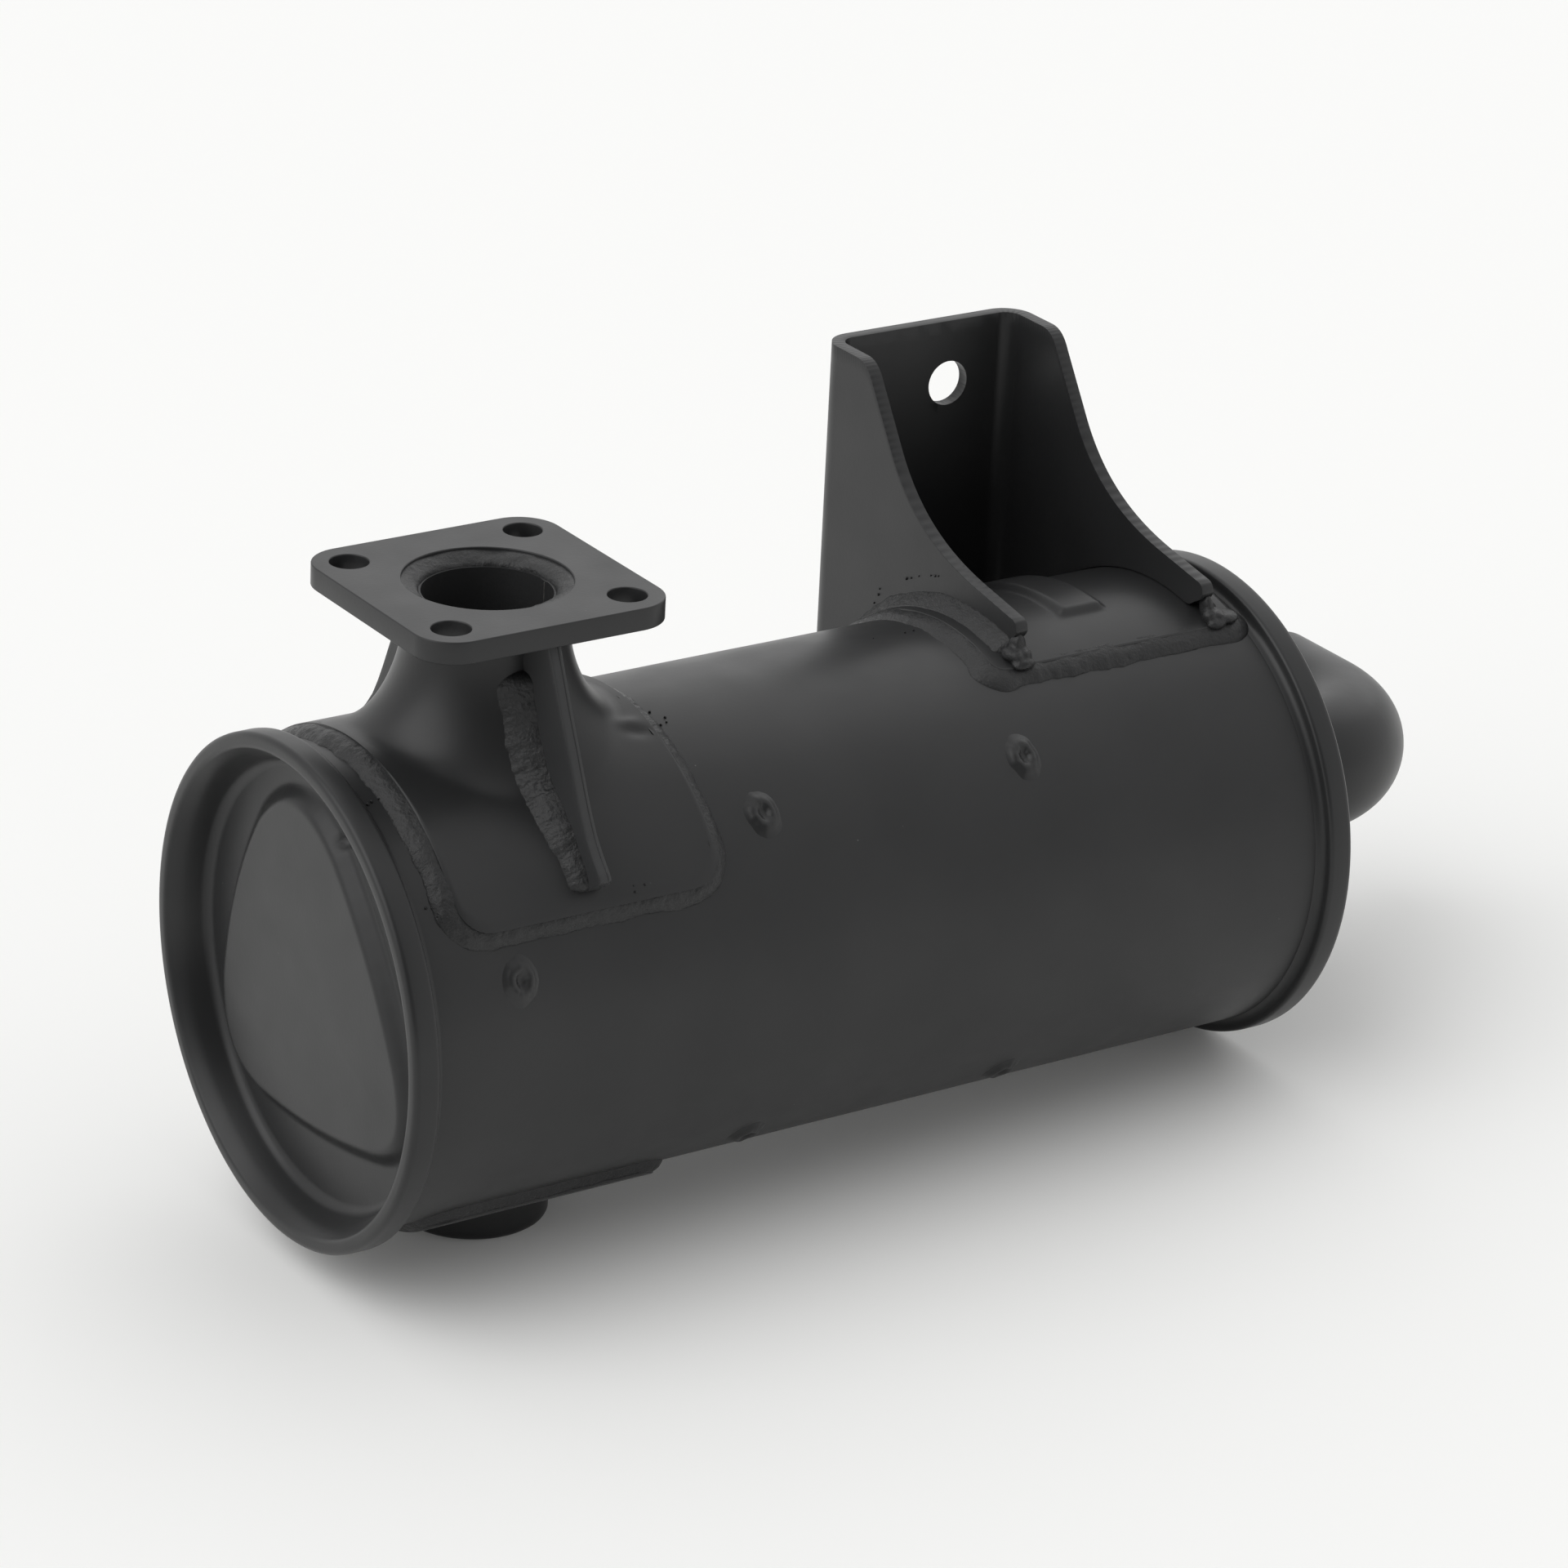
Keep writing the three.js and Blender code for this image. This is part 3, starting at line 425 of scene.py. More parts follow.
# ------ drum
SHELL_START, SHELL_END = mm(shell_lo.x, 0) + 2.8, mm(shell_hi.x, 0)
SHELL_MIDDLE = (mm(shell_lo.x, 0) + SHELL_END) / 2
DRUM_STEPS = 288
WAVE_DEPTH = 0.05  # how far the rolled sheet wanders
xs = np.linspace(SHELL_START, SHELL_END, 150)
profile = [(x, R_SHELL) for x in xs]
profile += [(x, R_SHELL - SHELL_SHEET) for x in (SHELL_END, SHELL_MIDDLE, SHELL_START)]
rows = about_x(profile, DRUM_STEPS)
for row in rows:
    for k in range(len(xs)):
        x, y, z = row[k]
        lift = WAVE_DEPTH * fbm((x, y, z), 34, 2) - WAVE_DEPTH
        row[k][1:] *= 1 + lift / R_SHELL
piece("drum_shell", *grid(rows, True, True), BODY, "black_paint", "shell", sharp=50)

# Both end caps are dished, with a lip folded over the drum's end.
CAP_DEPTH = 12.2
FLOOR_BEND = 3.6  # radius between the dish's floor and wall
wall_in = R_SHELL - SHELL_SHEET - GAP - CAP_SHEET


def lip(floor_radius):
    """(depth from the end face, radius) from the dish's floor to the far side of the rim."""
    floor = [(CAP_DEPTH, floor_radius), (CAP_DEPTH - 0.02, wall_in - 6)]
    floor += [(CAP_DEPTH - FLOOR_BEND + b, wall_in - 4.0 + a)
              for a, b in arc(0, 0, FLOOR_BEND, 90, 8, 8)]
    wall = ((7.2, 0.2), (5.2, 0.75), (3.4, 1.6), (1.9, 2.6), (0.95, 3.3), (0.5, 3.62), (0.2, 3.95),
            (0.03, 4.4), (0, 5.0))
    rim = ((0, 2.0), (0.08, 1.3), (0.4, 0.6), (1.0, 0.13), (1.9, 0), (4, 0), (6.6, 0), (7.4, 0.12),
           (7.85, 0.5), (8.05, 1.0), (8.1, 2.0), (8.35, 2.9), (8.9, 3.6), (9.7, 4.1))
    line = floor + [(depth, wall_in + out) for depth, out in wall]
    line += [(depth, R_RIM - below) for depth, below in rim]
    return line + [(10.8, R_SHELL + 0.02), (10.8, R_SHELL - 0.4)]


# The front cap's pressed panel has three rounded corners and bowed sides; it is outlined in (y, z).
CORNER_ANGLES, CORNER_REACH, SIDE_BOWS = (-9, -129, 116), 70, (14.5, 8, 11)
TOP_BLUNT, LOW_BLUNT = 0.27, 0.22  # share of a side taken by the rounding of its corner
corners = [on_drum(0, a, CORNER_REACH)[1:] for a in CORNER_ANGLES]


def panel_side(i, t):
    """The point a share t along the panel's side i."""
    a, b = corners[i], corners[(i + 1) % 3]
    middle = a + b
    return a + (b - a) * t + unit(middle) * SIDE_BOWS[i] * 4 * t * (1 - t)


outline = []
for i in range(3):
    blunt = TOP_BLUNT if i == 0 else LOW_BLUNT
    start, end = panel_side((i + 2) % 3, 1 - blunt), panel_side(i, blunt)
    outline += [quadratic(k / 14, start, corners[i], end) for k in range(14)]
    following = TOP_BLUNT if i == 2 else LOW_BLUNT
    outline += [panel_side(i, blunt + (1 - blunt - following) * k / 10) for k in range(10)]
outline = np.array(outline)


def inside_by(y, z):
    """Distance inside the panel's outline, negative outside it."""
    p = np.array((y, z))
    a, b = outline, np.roll(outline, -1, axis=0)
    ab = b - a
    t = np.clip(((p - a) * ab).sum(1) / (ab * ab).sum(1), 0, 1)
    gap = np.linalg.norm(a + ab * t[:, None] - p, axis=1).min()
    crossing = ((a[:, 1] > z) != (b[:, 1] > z)) & (
        y < (b[:, 0] - a[:, 0]) * (z - a[:, 1]) / (b[:, 1] - a[:, 1] + 1e-12) + a[:, 0])
    return gap if crossing.sum() % 2 else -gap


PANEL_RISE, PANEL_SLOPE, PANEL_CROWN = 4.0, 6.2, 0.35
NIB_Y, NIB_Z, NIB_DEPTH = -13, 49.5, 1.6  # small dent near the panel's top


def panel_height(y, z):
    """How far the pressed panel stands out from the dish's floor."""
    d = inside_by(y, z)
    rise = PANEL_RISE * float(smooth((d + 0.8) / PANEL_SLOPE))
    crown = PANEL_CROWN * float(smooth(d / 34))
    nib = math.exp(-(((y - NIB_Y) ** 2 + (z - NIB_Z) ** 2) / 5.0) ** 2)
    return rise + crown - NIB_DEPTH * nib


FLOOR_RADIUS = wall_in - 7
rows = []
for a in turns(DRUM_STEPS):
    row = []
    for r in np.linspace(0.4, FLOOR_RADIUS, 76):
        y, z = -r * math.sin(a), r * math.cos(a)
        row.append((CAP_DEPTH - panel_height(y, z), y, z))
    for x, r in lip(FLOOR_RADIUS)[1:]:
        row.append((x, -r * math.sin(a), r * math.cos(a)))
    rows.append(row)
piece("front_end_cap_pressed", *dish(rows), BODY, "black_paint", "front_end_cap", sharp=60)

rear = [(LENGTH - x, r) for x, r in lip(PIPE_RADIUS + GAP)]
piece("rear_end_cap_pressed", *grid(about_x(rear, 256), True, False), BODY, "black_paint",
      "rear_end_cap", sharp=60)


# ------ weld beads
RIPPLE_PITCH = 1.3


def bead(name, stations, nodes, seed, closed=False, lump=0.22, ripple=0.05, arc_steps=14,
         wrinkle=0.12):
    """A weld bead through stations: (corner, direction a, direction b, width a, width b, crown)."""
    run, rows = 0.0, []
    gap = float(np.linalg.norm(stations[1][0] - stations[0][0]))
    for i, (corner, da, db, wa, wb, crown) in enumerate(stations):
        if i:
            run += float(np.linalg.norm(corner - stations[i - 1][0]))
        taper = 1.0
        if not closed:
            reach = max(4.0, 0.8 * (wa + wb) / 2 / max(1e-6, gap))
            near_end = min(1.0, (i + 0.35) / reach, (len(stations) - i - 0.65) / reach)
            taper = math.sqrt(max(0.0, 1 - (1 - near_end) ** 2))
        edge_a = 1 + 0.12 * fbm(corner, 9, 2, seed + 3) + 0.035 * fbm(corner, 1.8, 1, seed + 7)
        edge_b = 1 + 0.12 * fbm(corner, 8, 2, seed + 5) + 0.03 * fbm(corner, 1.7, 1, seed + 9)
        a = corner + da * wa * edge_a * taper
        b = corner + db * wb * edge_b * taper
        out = unit(da + db)
        row = [corner - out * 0.4, a - db * 0.35]
        for k in range(arc_steps + 1):
            t = k / arc_steps
            bulge = math.sin(math.pi * t)
            p = a * (1 - t) + b * t + out * crown * taper * bulge
            rough = lump * fbm(p, 5.5, 2, seed) + 0.3 * lump * fbm(p, 1.4, 2, seed + 2)
            rough -= wrinkle * abs(fbm(p, 2.3, 2, seed + 4))
            phase = (run + 1.1 * bulge + 1.6 * fbm(p, 4, 2, seed)) / RIPPLE_PITCH
            chevron = ripple * math.sin(2 * math.pi * phase)
            row.append(p + out * (rough + chevron) * min(1.0, 0.25 + bulge) * taper)
        row.append(b - da * 0.35)
        rows.append(row)
    made = grid(rows, closed, True, caps=not closed)
    piece(name, *made, WELD, "weld_paint", *nodes, sharp=70)


def rounded_corners(cx, half_x, half_y, corner):
    """Points round a rounded rectangle, only at its corners."""
    points = []
    for sx, sy, start in ((1, 1, 0), (-1, 1, 90), (-1, -1, 180), (1, -1, 270)):
        points += arc(cx + sx * (half_x - corner), sy * (half_y - corner), corner,
                      start, start + 90, 14)
    return points


def rounded_rectangle(cx, half_x, half_s, corner, step=0.7):
    """Outline in (x, arc length round the drum), evenly stepped, going round once."""
    points = rounded_corners(cx, half_x, half_s, corner)
    return evenly(np.array(points + points[:1]), step=step)


BEAD_LAP = 0.9  # how far a bead reaches in over its plate


def drum_bead(name, shape, middle, nodes, width, height, seed, **extra):
    """A bead round a plate on the drum; width and height are numbers or functions of (x, degrees)."""
    stations = []
    count = len(shape)
    for i in range(count):
        here = shape[i]
        along = unit(shape[(i + 2) % count] - shape[i - 2])
        out = np.array((along[1], -along[0]))
        degrees = middle + math.degrees(here[1] / R_SHELL)
        base = on_drum(here[0], degrees, R_SHELL)
        a = math.radians(degrees)
        round_way = np.array((0, -math.cos(a), -math.sin(a)))
        da = unit(np.array((1.0, 0, 0)) * out[0] + round_way * out[1])
        db = unit(np.array((0, -math.sin(a), math.cos(a))))
        w = width(here[0], degrees) if callable(width) else width
        h = height(here[0], degrees) if callable(height) else height
        stations.append((base - da * BEAD_LAP, da, unit(db * h - da * 0.6),
                         w + BEAD_LAP, h, 0.4 + 0.07 * w))
    bead(name, stations, nodes, seed, closed=True, **extra)


# ------ inlet neck, saddle and its welds
NECK_RADIUS, FLARE_RADIUS = 23.2, 39.5  # radii of the neck and of its flare's foot
NECK_SET, NECK_STRAIGHT = 3.6, 8.0  # the neck's end below the flange's face, and its straight part
PLATE_X, PLATE_HALF, PLATE_ANGLE, PLATE_CORNER = 63.0, 41.8, 58.8, 10.0
FLARE_STEPS, NECK_STEPS, SKIRT_STEPS = 22, 224, 24
SADDLE_TOP = R_SHELL + GAP + SADDLE_SHEET
plate_half_s = math.radians(PLATE_ANGLE) * SADDLE_TOP


def flare_line(direction):
    """(reach, height) of the neck's outside in a vertical plane through the inlet's axis."""
    sideways = abs(math.sin(direction))
    crown = FLANGE_TOP - NECK_SET
    base = math.sqrt(SADDLE_TOP * SADDLE_TOP - (FLARE_RADIUS * sideways) ** 2)
    slope = -(FLARE_RADIUS * sideways * sideways) / base
    run = FLARE_RADIUS - NECK_RADIUS
    control = [np.array((NECK_RADIUS, crown - NECK_STRAIGHT)),
               np.array((NECK_RADIUS, base + (crown - NECK_STRAIGHT - base) * 0.56)),
               np.array((FLARE_RADIUS - run * 0.52, base - slope * run * 0.52)),
               np.array((FLARE_RADIUS, base))]
    line = [np.array((NECK_RADIUS - SADDLE_SHEET, crown)), np.array((NECK_RADIUS, crown)),
            np.array((NECK_RADIUS, crown - NECK_STRAIGHT * 0.5))]
    return line + [cubic(k / FLARE_STEPS, *control) for k in range(FLARE_STEPS + 1)]


def crease(p):
    """Height of a small pinch in the plate by its right-hand weld."""
    a = math.degrees(math.atan2(-p[1], p[2]))
    u, v = p[0] - 99.5, (a - 18.5) * 1.27
    return -0.8 * math.exp(-((u - 0.4 * v) / 3.6) ** 2 - (v / 2.4) ** 2) + 0.7 * math.exp(
        -((u + 1.5) / 4.0) ** 2 - ((v + 4.0) / 2.4) ** 2)


def edge_share(dx, ds):
    """How many times (dx, ds) reaches from the inlet to the plate's rounded edge."""
    low, high = 1.0, 4.0
    for _ in range(40):
        mid = (low + high) / 2
        qx, qs = abs(INLET_X + dx * mid - PLATE_X), abs(ds * mid)
        ex = max(qx - (PLATE_HALF - PLATE_CORNER), 0)
        es = max(qs - (plate_half_s - PLATE_CORNER), 0)
        low, high = (low, mid) if math.hypot(ex, es) > PLATE_CORNER else (mid, high)
    return low


rows = []
for direction in turns(NECK_STEPS):
    c, s = math.cos(direction), math.sin(direction)
    row = [np.array((INLET_X + r * c, r * s, z)) for r, z in flare_line(direction)]
    dx, ds = FLARE_RADIUS * c, SADDLE_TOP * math.asin(-FLARE_RADIUS * s / SADDLE_TOP)
    share = edge_share(dx, ds)
    for j in range(1, SKIRT_STEPS + 1):
        m = 1 + (share - 1) * j / SKIRT_STEPS
        row.append(on_drum(INLET_X + dx * m, math.degrees(ds * m / SADDLE_TOP), SADDLE_TOP))
    edge = row.pop()
    radial = unit(np.array((0, edge[1], edge[2])))
    row += [edge - radial * down for down in (0.35, 1.4, SADDLE_SHEET)]
    rows.append(row)
rows = np.array(rows, float)
for row in rows:
    for j in range(14, len(row) - 2):
        p = row[j]
        radial = unit(np.array((0, p[1], p[2])))
        row[j] = p + radial * (crease(p) + 0.06 * fbm(p, 22, 2, 4.0))
piece("inlet_saddle_pressed", *grid(rows, True, False), BODY, "black_paint", "inlet_saddle",
      sharp=55)

saddle_shape = rounded_rectangle(PLATE_X, PLATE_HALF, math.radians(PLATE_ANGLE) * R_SHELL,
                                 PLATE_CORNER)


def saddle_width(x, degrees):
    """The bead is wider along the plate's front edge."""
    left = smooth((30 - x) / 12)
    return 4.2 + 2.0 * float(left)


def saddle_height(x, degrees):
    """The bead is lower along the plate's two lower edges."""
    low = smooth((abs(degrees) - 50) / 8)
    return 3.0 - 0.5 * float(low)


drum_bead("saddle_weld_bead", saddle_shape, 0, ["saddle_weld"], saddle_width, saddle_height, 2.0,
          lump=0.26, wrinkle=0.3)


def plate_curve(name, outlines, thickness, easing):
    """A mesh of a flat plate with eased edges, centred on z = 0, from closed outlines in (x, y)."""
    curve = bpy.data.curves.new(name, "CURVE")
    curve.dimensions = "2D"
    curve.fill_mode = "BOTH"
    for points in outlines:
        spline = curve.splines.new("POLY")
        spline.points.add(len(points) - 1)
        for q, (x, y) in zip(spline.points, points):
            q.co = (x / MM_PER_M, y / MM_PER_M, 0, 1)
        spline.use_cyclic_u = True
    curve.extrude = (thickness / 2 - easing) / MM_PER_M
    curve.bevel_depth = easing / MM_PER_M
    curve.bevel_resolution = 2
    curve.offset = -easing / MM_PER_M
    obj = linked(name, curve)
    bpy.context.view_layer.update()
    graph = bpy.context.evaluated_depsgraph_get()
    mesh = bpy.data.meshes.new_from_object(obj.evaluated_get(graph))
    bpy.data.objects.remove(obj)
    bpy.data.curves.remove(curve)
    return mesh


def ring_points(cx, cy, r, steps=72):
    return [(cx + r * math.cos(a), cy + r * math.sin(a)) for a in turns(steps)]


# The flange has rounded corners, four bolt holes and the gas bore.
FLANGE_CORNER, FLANGE_BORE, BOLT_OFFSET, BOLT_RADIUS = 12.0, 24, 28, 5.6
outlines = [rounded_corners(0, FLANGE_HALF, FLANGE_HALF, FLANGE_CORNER),
            ring_points(0, 0, FLANGE_BORE)]
outlines += [ring_points(x, y, BOLT_RADIUS, 48)
             for x in (-BOLT_OFFSET, BOLT_OFFSET) for y in (-BOLT_OFFSET, BOLT_OFFSET)]
flange_mesh = plate_curve("flange", outlines, FLANGE_TOP - FLANGE_BOTTOM, 0.35)
flange_mesh.transform(Matrix.Translation(
    ORIGIN + Vector((INLET_X, 0, (FLANGE_TOP + FLANGE_BOTTOM) / 2)) / MM_PER_M))
dress("inlet_flange_plate", flange_mesh, PLATE, "black_paint", "inlet_flange", sharp=40)

# Weld inside the flange's bore: a rough sunk ring, as (radius, height from the flange's top).
RING_LINE = ((24.3, -1.9), (24.1, -0.75), (23.7, -0.8), (23.2, -0.95), (22.7, -1.1), (22.2, -1.3),
             (21.7, -1.5), (21.2, -1.7), (20.7, -1.95), (20.2, -2.25), (19.7, -2.6), (19.3, -3.1),
             (19.0, -3.9), (18.9, -5.5), (21, -5.5))
RING_STEPS = 300
rows = []
for a in turns(RING_STEPS):
    row = []
    for j, (r, z) in enumerate(RING_LINE):
        p = np.array((INLET_X + r * math.cos(a), r * math.sin(a), FLANGE_TOP + z))
        if 1 <= j <= 12:
            w = min(1.0, 0.35 + j / 5, (13 - j) / 3)
            lift = (0.6 * fbm(p, 9.5, 2, 6.0) + 0.13 * fbm(p, 2.6, 3, 7.0)
                    - 0.3 * abs(fbm(p, 6, 2, 8.0)) + 0.1)
            p = p + np.array((-math.cos(a) * 0.7, -math.sin(a) * 0.7, 0.7)) * (w * lift)
            p[2] = min(p[2], FLANGE_TOP - 0.1)
        row.append(p)
    rows.append(row)
piece("flange_weld_ring", *grid(rows, True, True), WELD, "weld_paint", "flange_weld", sharp=70)

# The tube in the neck, with the low ridge of its seam, and the holes drilled through its sides.
TUBE_RADIUS, TUBE_BORE, TUBE_STEPS = 20.1, 18.5, 120
SEAM_HALF_ANGLE, SEAM_HEIGHT = math.radians(4.5), 0.3
tube_top, tube_bottom = mm(tube_hi.z, 2), mm(tube_lo.z, 2)
tube_line = [(TUBE_RADIUS, tube_top), (TUBE_RADIUS, tube_bottom), (TUBE_BORE, tube_bottom)]
tube_line += [(TUBE_BORE, z) for z in np.linspace(tube_bottom + 8, tube_top, 14)]
rows = about_z(tube_line, INLET_X, TUBE_STEPS)
for a, row in zip(turns(TUBE_STEPS), rows):
    turn = abs((a + math.pi) % (2 * math.pi) - math.pi)
    if turn < SEAM_HALF_ANGLE:
        for j in range(2, len(row)):
            row[j][0] -= SEAM_HEIGHT * math.cos(a)
            row[j][1] -= SEAM_HEIGHT * math.sin(a)
tube = piece("inlet_tube_drilled", *grid(rows, True, True), SOOT, "inner_steel", "inlet_tube",
             sharp=50)
for height in (-32, 0, 32):
    drilled(tube, "drill", (INLET_X, height), 6, (-40, 40), 40)
tube.data.set_sharp_from_angle(angle=math.radians(40))

# Slightly wandering bright strip of the steel material along the tube's seam.
SEAM_X = INLET_X + 18.15
rows = []
for z in np.linspace(tube_top - 0.4, tube_top - 26, 60):
    y = -0.35 + 0.12 * fbm((0, 0, z), 4, 2, 3.0)
    half_width = 0.26 + 0.1 * fbm((0, 0, z), 1.6, 2, 5.0)
    rows.append([(SEAM_X, y - half_width, z), (SEAM_X - 0.1, y, z),
                 (SEAM_X, y + half_width, z), (SEAM_X + 0.45, y, z)])
piece("tube_seam_line", *grid(rows, False, True, caps=True), STEEL, "inner_steel", sharp=50)


# ------ gussets
GUSSET_HALF = 2.0  # half the plate's thickness
GUSSET_COUNT = 60
GUSSET_FOOT_ANGLE = 54.5
GUSSET_EDGE = ((36.3, FLANGE_BOTTOM - GAP), (40.3, 97.4), (44.3, 88), (48.9, 78.2), (53.4, 68.2),
               (56, 62.9), (58.8, 58), (62.3, 53.6), (66.3, 49.4), (66.75, 48.6), (66.7, 47.8),
               (66.2, 47.1))
# across the sheared edge: (distance back from the edge, x), with a fine groove beside its middle
SHEARED_EDGE = ((1.4, -2.0), (0.35, -2.0), (0.06, -1.9), (0, -1.7), (0.08, -1.0), (0.12, 0.0),
                (0.16, 0.5), (0.34, 0.66), (0.36, 0.82), (0.2, 0.95), (0.22, 1.4), (0.4, 1.8),
                (0.7, 1.98), (1.4, 2.0))


def gusset_inner(count):
    """Points (reach, height) down the neck and the saddle, evenly stepped."""
    line = flare_line(math.pi / 2)[2:]
    line[0] = np.array((NECK_RADIUS, FLANGE_BOTTOM - GAP))
    start = math.degrees(math.asin(FLARE_RADIUS / SADDLE_TOP))
    for k in range(1, 9):
        a = math.radians(start + (GUSSET_FOOT_ANGLE - start) * k / 8)
        line.append(np.array((SADDLE_TOP * math.sin(a), SADDLE_TOP * math.cos(a))))
    return evenly(np.array(line), count)


def gusset(name, side, node):
    """A gusset plate; side is -1 for the one toward -Y."""
    rows = []
    for a, b in zip(gusset_inner(GUSSET_COUNT), evenly(np.array(GUSSET_EDGE), GUSSET_COUNT)):
        along = unit(b - a)
        middle = a * 0.5 + b * 0.5
        row = [(-GUSSET_HALF, a), (-GUSSET_HALF, middle)]
        row += [(x, b - along * back_by) for back_by, x in SHEARED_EDGE]
        row += [(GUSSET_HALF, middle), (GUSSET_HALF, a)]
        rows.append([(INLET_X + x, side * p[0], p[1]) for x, p in row])
    # the plates wear the lighter copy of the paint, a painted light on faces in shade
    piece(name, *grid(rows, False, True, caps=True), GUSSET_LIGHTENED, "black_paint", node, sharp=32)


def gusset_bead(name, side, hand, node, width, seed, lump, ripple, top_in=0.0, count=130, **extra):
    """A fillet down one side of a gusset, from a share top_in of the way down."""
    inner = gusset_inner(count)
    stations = []
    for i in range(count):
        share = i / count
        if share < top_in:
            continue
        a, b = inner[max(0, i - 1)], inner[min(count - 1, i + 1)]
        along = unit(b - a)
        out = np.array((-along[1], along[0]))
        if out[0] < 0:
            out = -out
        corner = np.array((INLET_X + hand * GUSSET_HALF, side * inner[i][0], inner[i][1]))
        swell = 1 + 0.12 * math.sin(math.pi * i / count) - 0.3 * float(smooth((share - 0.62) / 0.35))
        # the neck is round in plan, so its surface falls away beside the gusset
        y, u = inner[i][0], GUSSET_HALF + width * swell
        fall = (math.hypot(y, u) - y) * out[0] * float(smooth((FLARE_RADIUS + 2 - y) / 7))
        away = np.array((hand * width * swell, -side * out[0] * fall, -out[1] * fall))
        stations.append((corner, unit(away), np.array((0, side * out[0], out[1])),
                         float(np.linalg.norm(away)), width * 0.75 * swell, width * 0.1))
    bead(name, stations, [node], seed, lump=lump, ripple=ripple, **extra)


gusset("gusset_plate_front", -1, "gusset_front")
gusset("gusset_plate_rear", 1, "gusset_rear")
gusset_bead("gusset_bead_front_left", -1, -1, "gusset_weld_front_left", 6.6, 11.0, 0.16, 0.05, 0.15,
            count=230, arc_steps=26, wrinkle=0.16)
gusset_bead("gusset_bead_front_right", -1, 1, "gusset_weld_front_right", 2.6, 12.0, 0.12, 0.02)
gusset_bead("gusset_bead_rear_left", 1, -1, "gusset_weld_rear_left", 4.2, 13.0, 0.2, 0.06, 0.08)
gusset_bead("gusset_bead_rear_right", 1, 1, "gusset_weld_rear_right", 5.0, 14.0, 0.2, 0.07, 0.12)


# ------ curved plates
def drum_plate(name, cx, half_x, middle, half_deg, corner, thickness, node, height=None,
               rings=40, around=240):
    """A rounded plate lying on the drum, its top edge eased; height(x, degrees) raises its face."""
    face = R_SHELL + GAP + thickness
    half_s = math.radians(half_deg) * face
    shape = rounded_rectangle(0, half_x, half_s, corner, 0.2)
    angles = np.linspace(0, len(shape), around, endpoint=False).astype(int)
    rim = shape[angles]
    levels = [(k / rings, 0.0) for k in range(1, rings)]
    levels += [(1 - 0.5 / half_x, 0.0), (1 - 0.12 / half_x, 0.14), (1.0, 0.55)]
    levels += [(1.0, thickness * 0.6), (1.0, thickness), (0.85, thickness), (0.5, thickness)]
    rows = []
    for share, drop in levels:
        row = []
        for ux, us in rim:
            x, degrees = cx + ux * share, middle + math.degrees(us * share / face)
            lift = height(x, degrees) if height and drop < 0.2 else 0
            row.append(on_drum(x, degrees, face - drop + lift))
        rows.append(row)
    points, faces = grid(rows, False, True)
    middle_point = on_drum(cx, middle, face + (height(cx, middle) if height else 0))
    points = np.vstack([points, [middle_point]])
    centre = len(points) - 1
    faces += [(centre, j, (j + 1) % around) for j in range(around)]
    piece(name, points, faces, BODY, "black_paint", node, sharp=50)


BASE_HALF, BASE_ANGLE, BASE_CORNER = 38, 36, 8
drum_plate("bottom_plate_curved", INLET_X, BASE_HALF, 180, BASE_ANGLE, BASE_CORNER, 2.7,
           "bottom_plate")
base_shape = rounded_rectangle(INLET_X, BASE_HALF, math.radians(BASE_ANGLE) * R_SHELL, BASE_CORNER)
drum_bead("bottom_plate_bead", base_shape, 180, ["bottom_plate_weld"], 3.6, 2.8, 21.0)

DOUBLER_X, DOUBLER_HALF, DOUBLER_CORNER = BRACKET_MIDDLE - 0.5, 44.0, 4
DOUBLER_MIDDLE, DOUBLER_ANGLE = (22.5 - 80) / 2, (22.5 + 80) / 2
RIB_X, RIB_HEIGHT = BRACKET_MIDDLE - 2, 2.0


def rib(x, degrees):
    """Pressed rib across the doubler between the bracket's cheeks."""
    across = 1 - smooth((abs(x - RIB_X) - 5.8) / 3.4)
    along = smooth((9.5 - degrees) / 2.6) * smooth((degrees + 62) / 3)
    return RIB_HEIGHT * float(across) * float(along)


drum_plate("bracket_doubler_pressed", DOUBLER_X, DOUBLER_HALF, DOUBLER_MIDDLE, DOUBLER_ANGLE,
           DOUBLER_CORNER, DOUBLER_SHEET, "bracket_doubler", rib, rings=96, around=360)


def doubler_width(x, degrees):
    """The bead is wider at the front and left edges, and widest at the front right corner."""
    front = float(smooth((degrees - 16) / 5))
    left = float(smooth((DOUBLER_X - DOUBLER_HALF + 8 - x) / 6))
    right = float(smooth((x - (DOUBLER_X + DOUBLER_HALF - 7)) / 5))
    return 3.4 + 1.6 * left + 1.5 * front + 0.8 * front * right


doubler_shape = rounded_rectangle(DOUBLER_X, DOUBLER_HALF, math.radians(DOUBLER_ANGLE) * R_SHELL,
                                  DOUBLER_CORNER)
drum_bead("doubler_weld_bead", doubler_shape, DOUBLER_MIDDLE, ["doubler_weld"], doubler_width, 2.6,
          31.0, lump=0.2, ripple=0.04)

# Foot: the closed lower end of the inlet tube.
FOOT_RADIUS, FOOT_TOP = 22.5, -66
foot = [(0.3, FOOT_Z), (20.0, FOOT_Z), (21.2, FOOT_Z + 0.2), (22.0, FOOT_Z + 0.8),
        (22.45, FOOT_Z + 1.7), (FOOT_RADIUS, FOOT_Z + 3), (FOOT_RADIUS, FOOT_TOP), (20.6, FOOT_TOP)]
piece("foot_cap_turned", *dish(about_z(foot, INLET_X, 128)), BODY, "black_paint", "foot_cap", sharp=50)


# ------ hanger bracket
BRACKET_SHEET, BRACKET_BEND = 4.0, 9.0
HOLE_X, HOLE_Z, HOLE_R = BRACKET_MIDDLE + 9.4, 113.0, 7.0
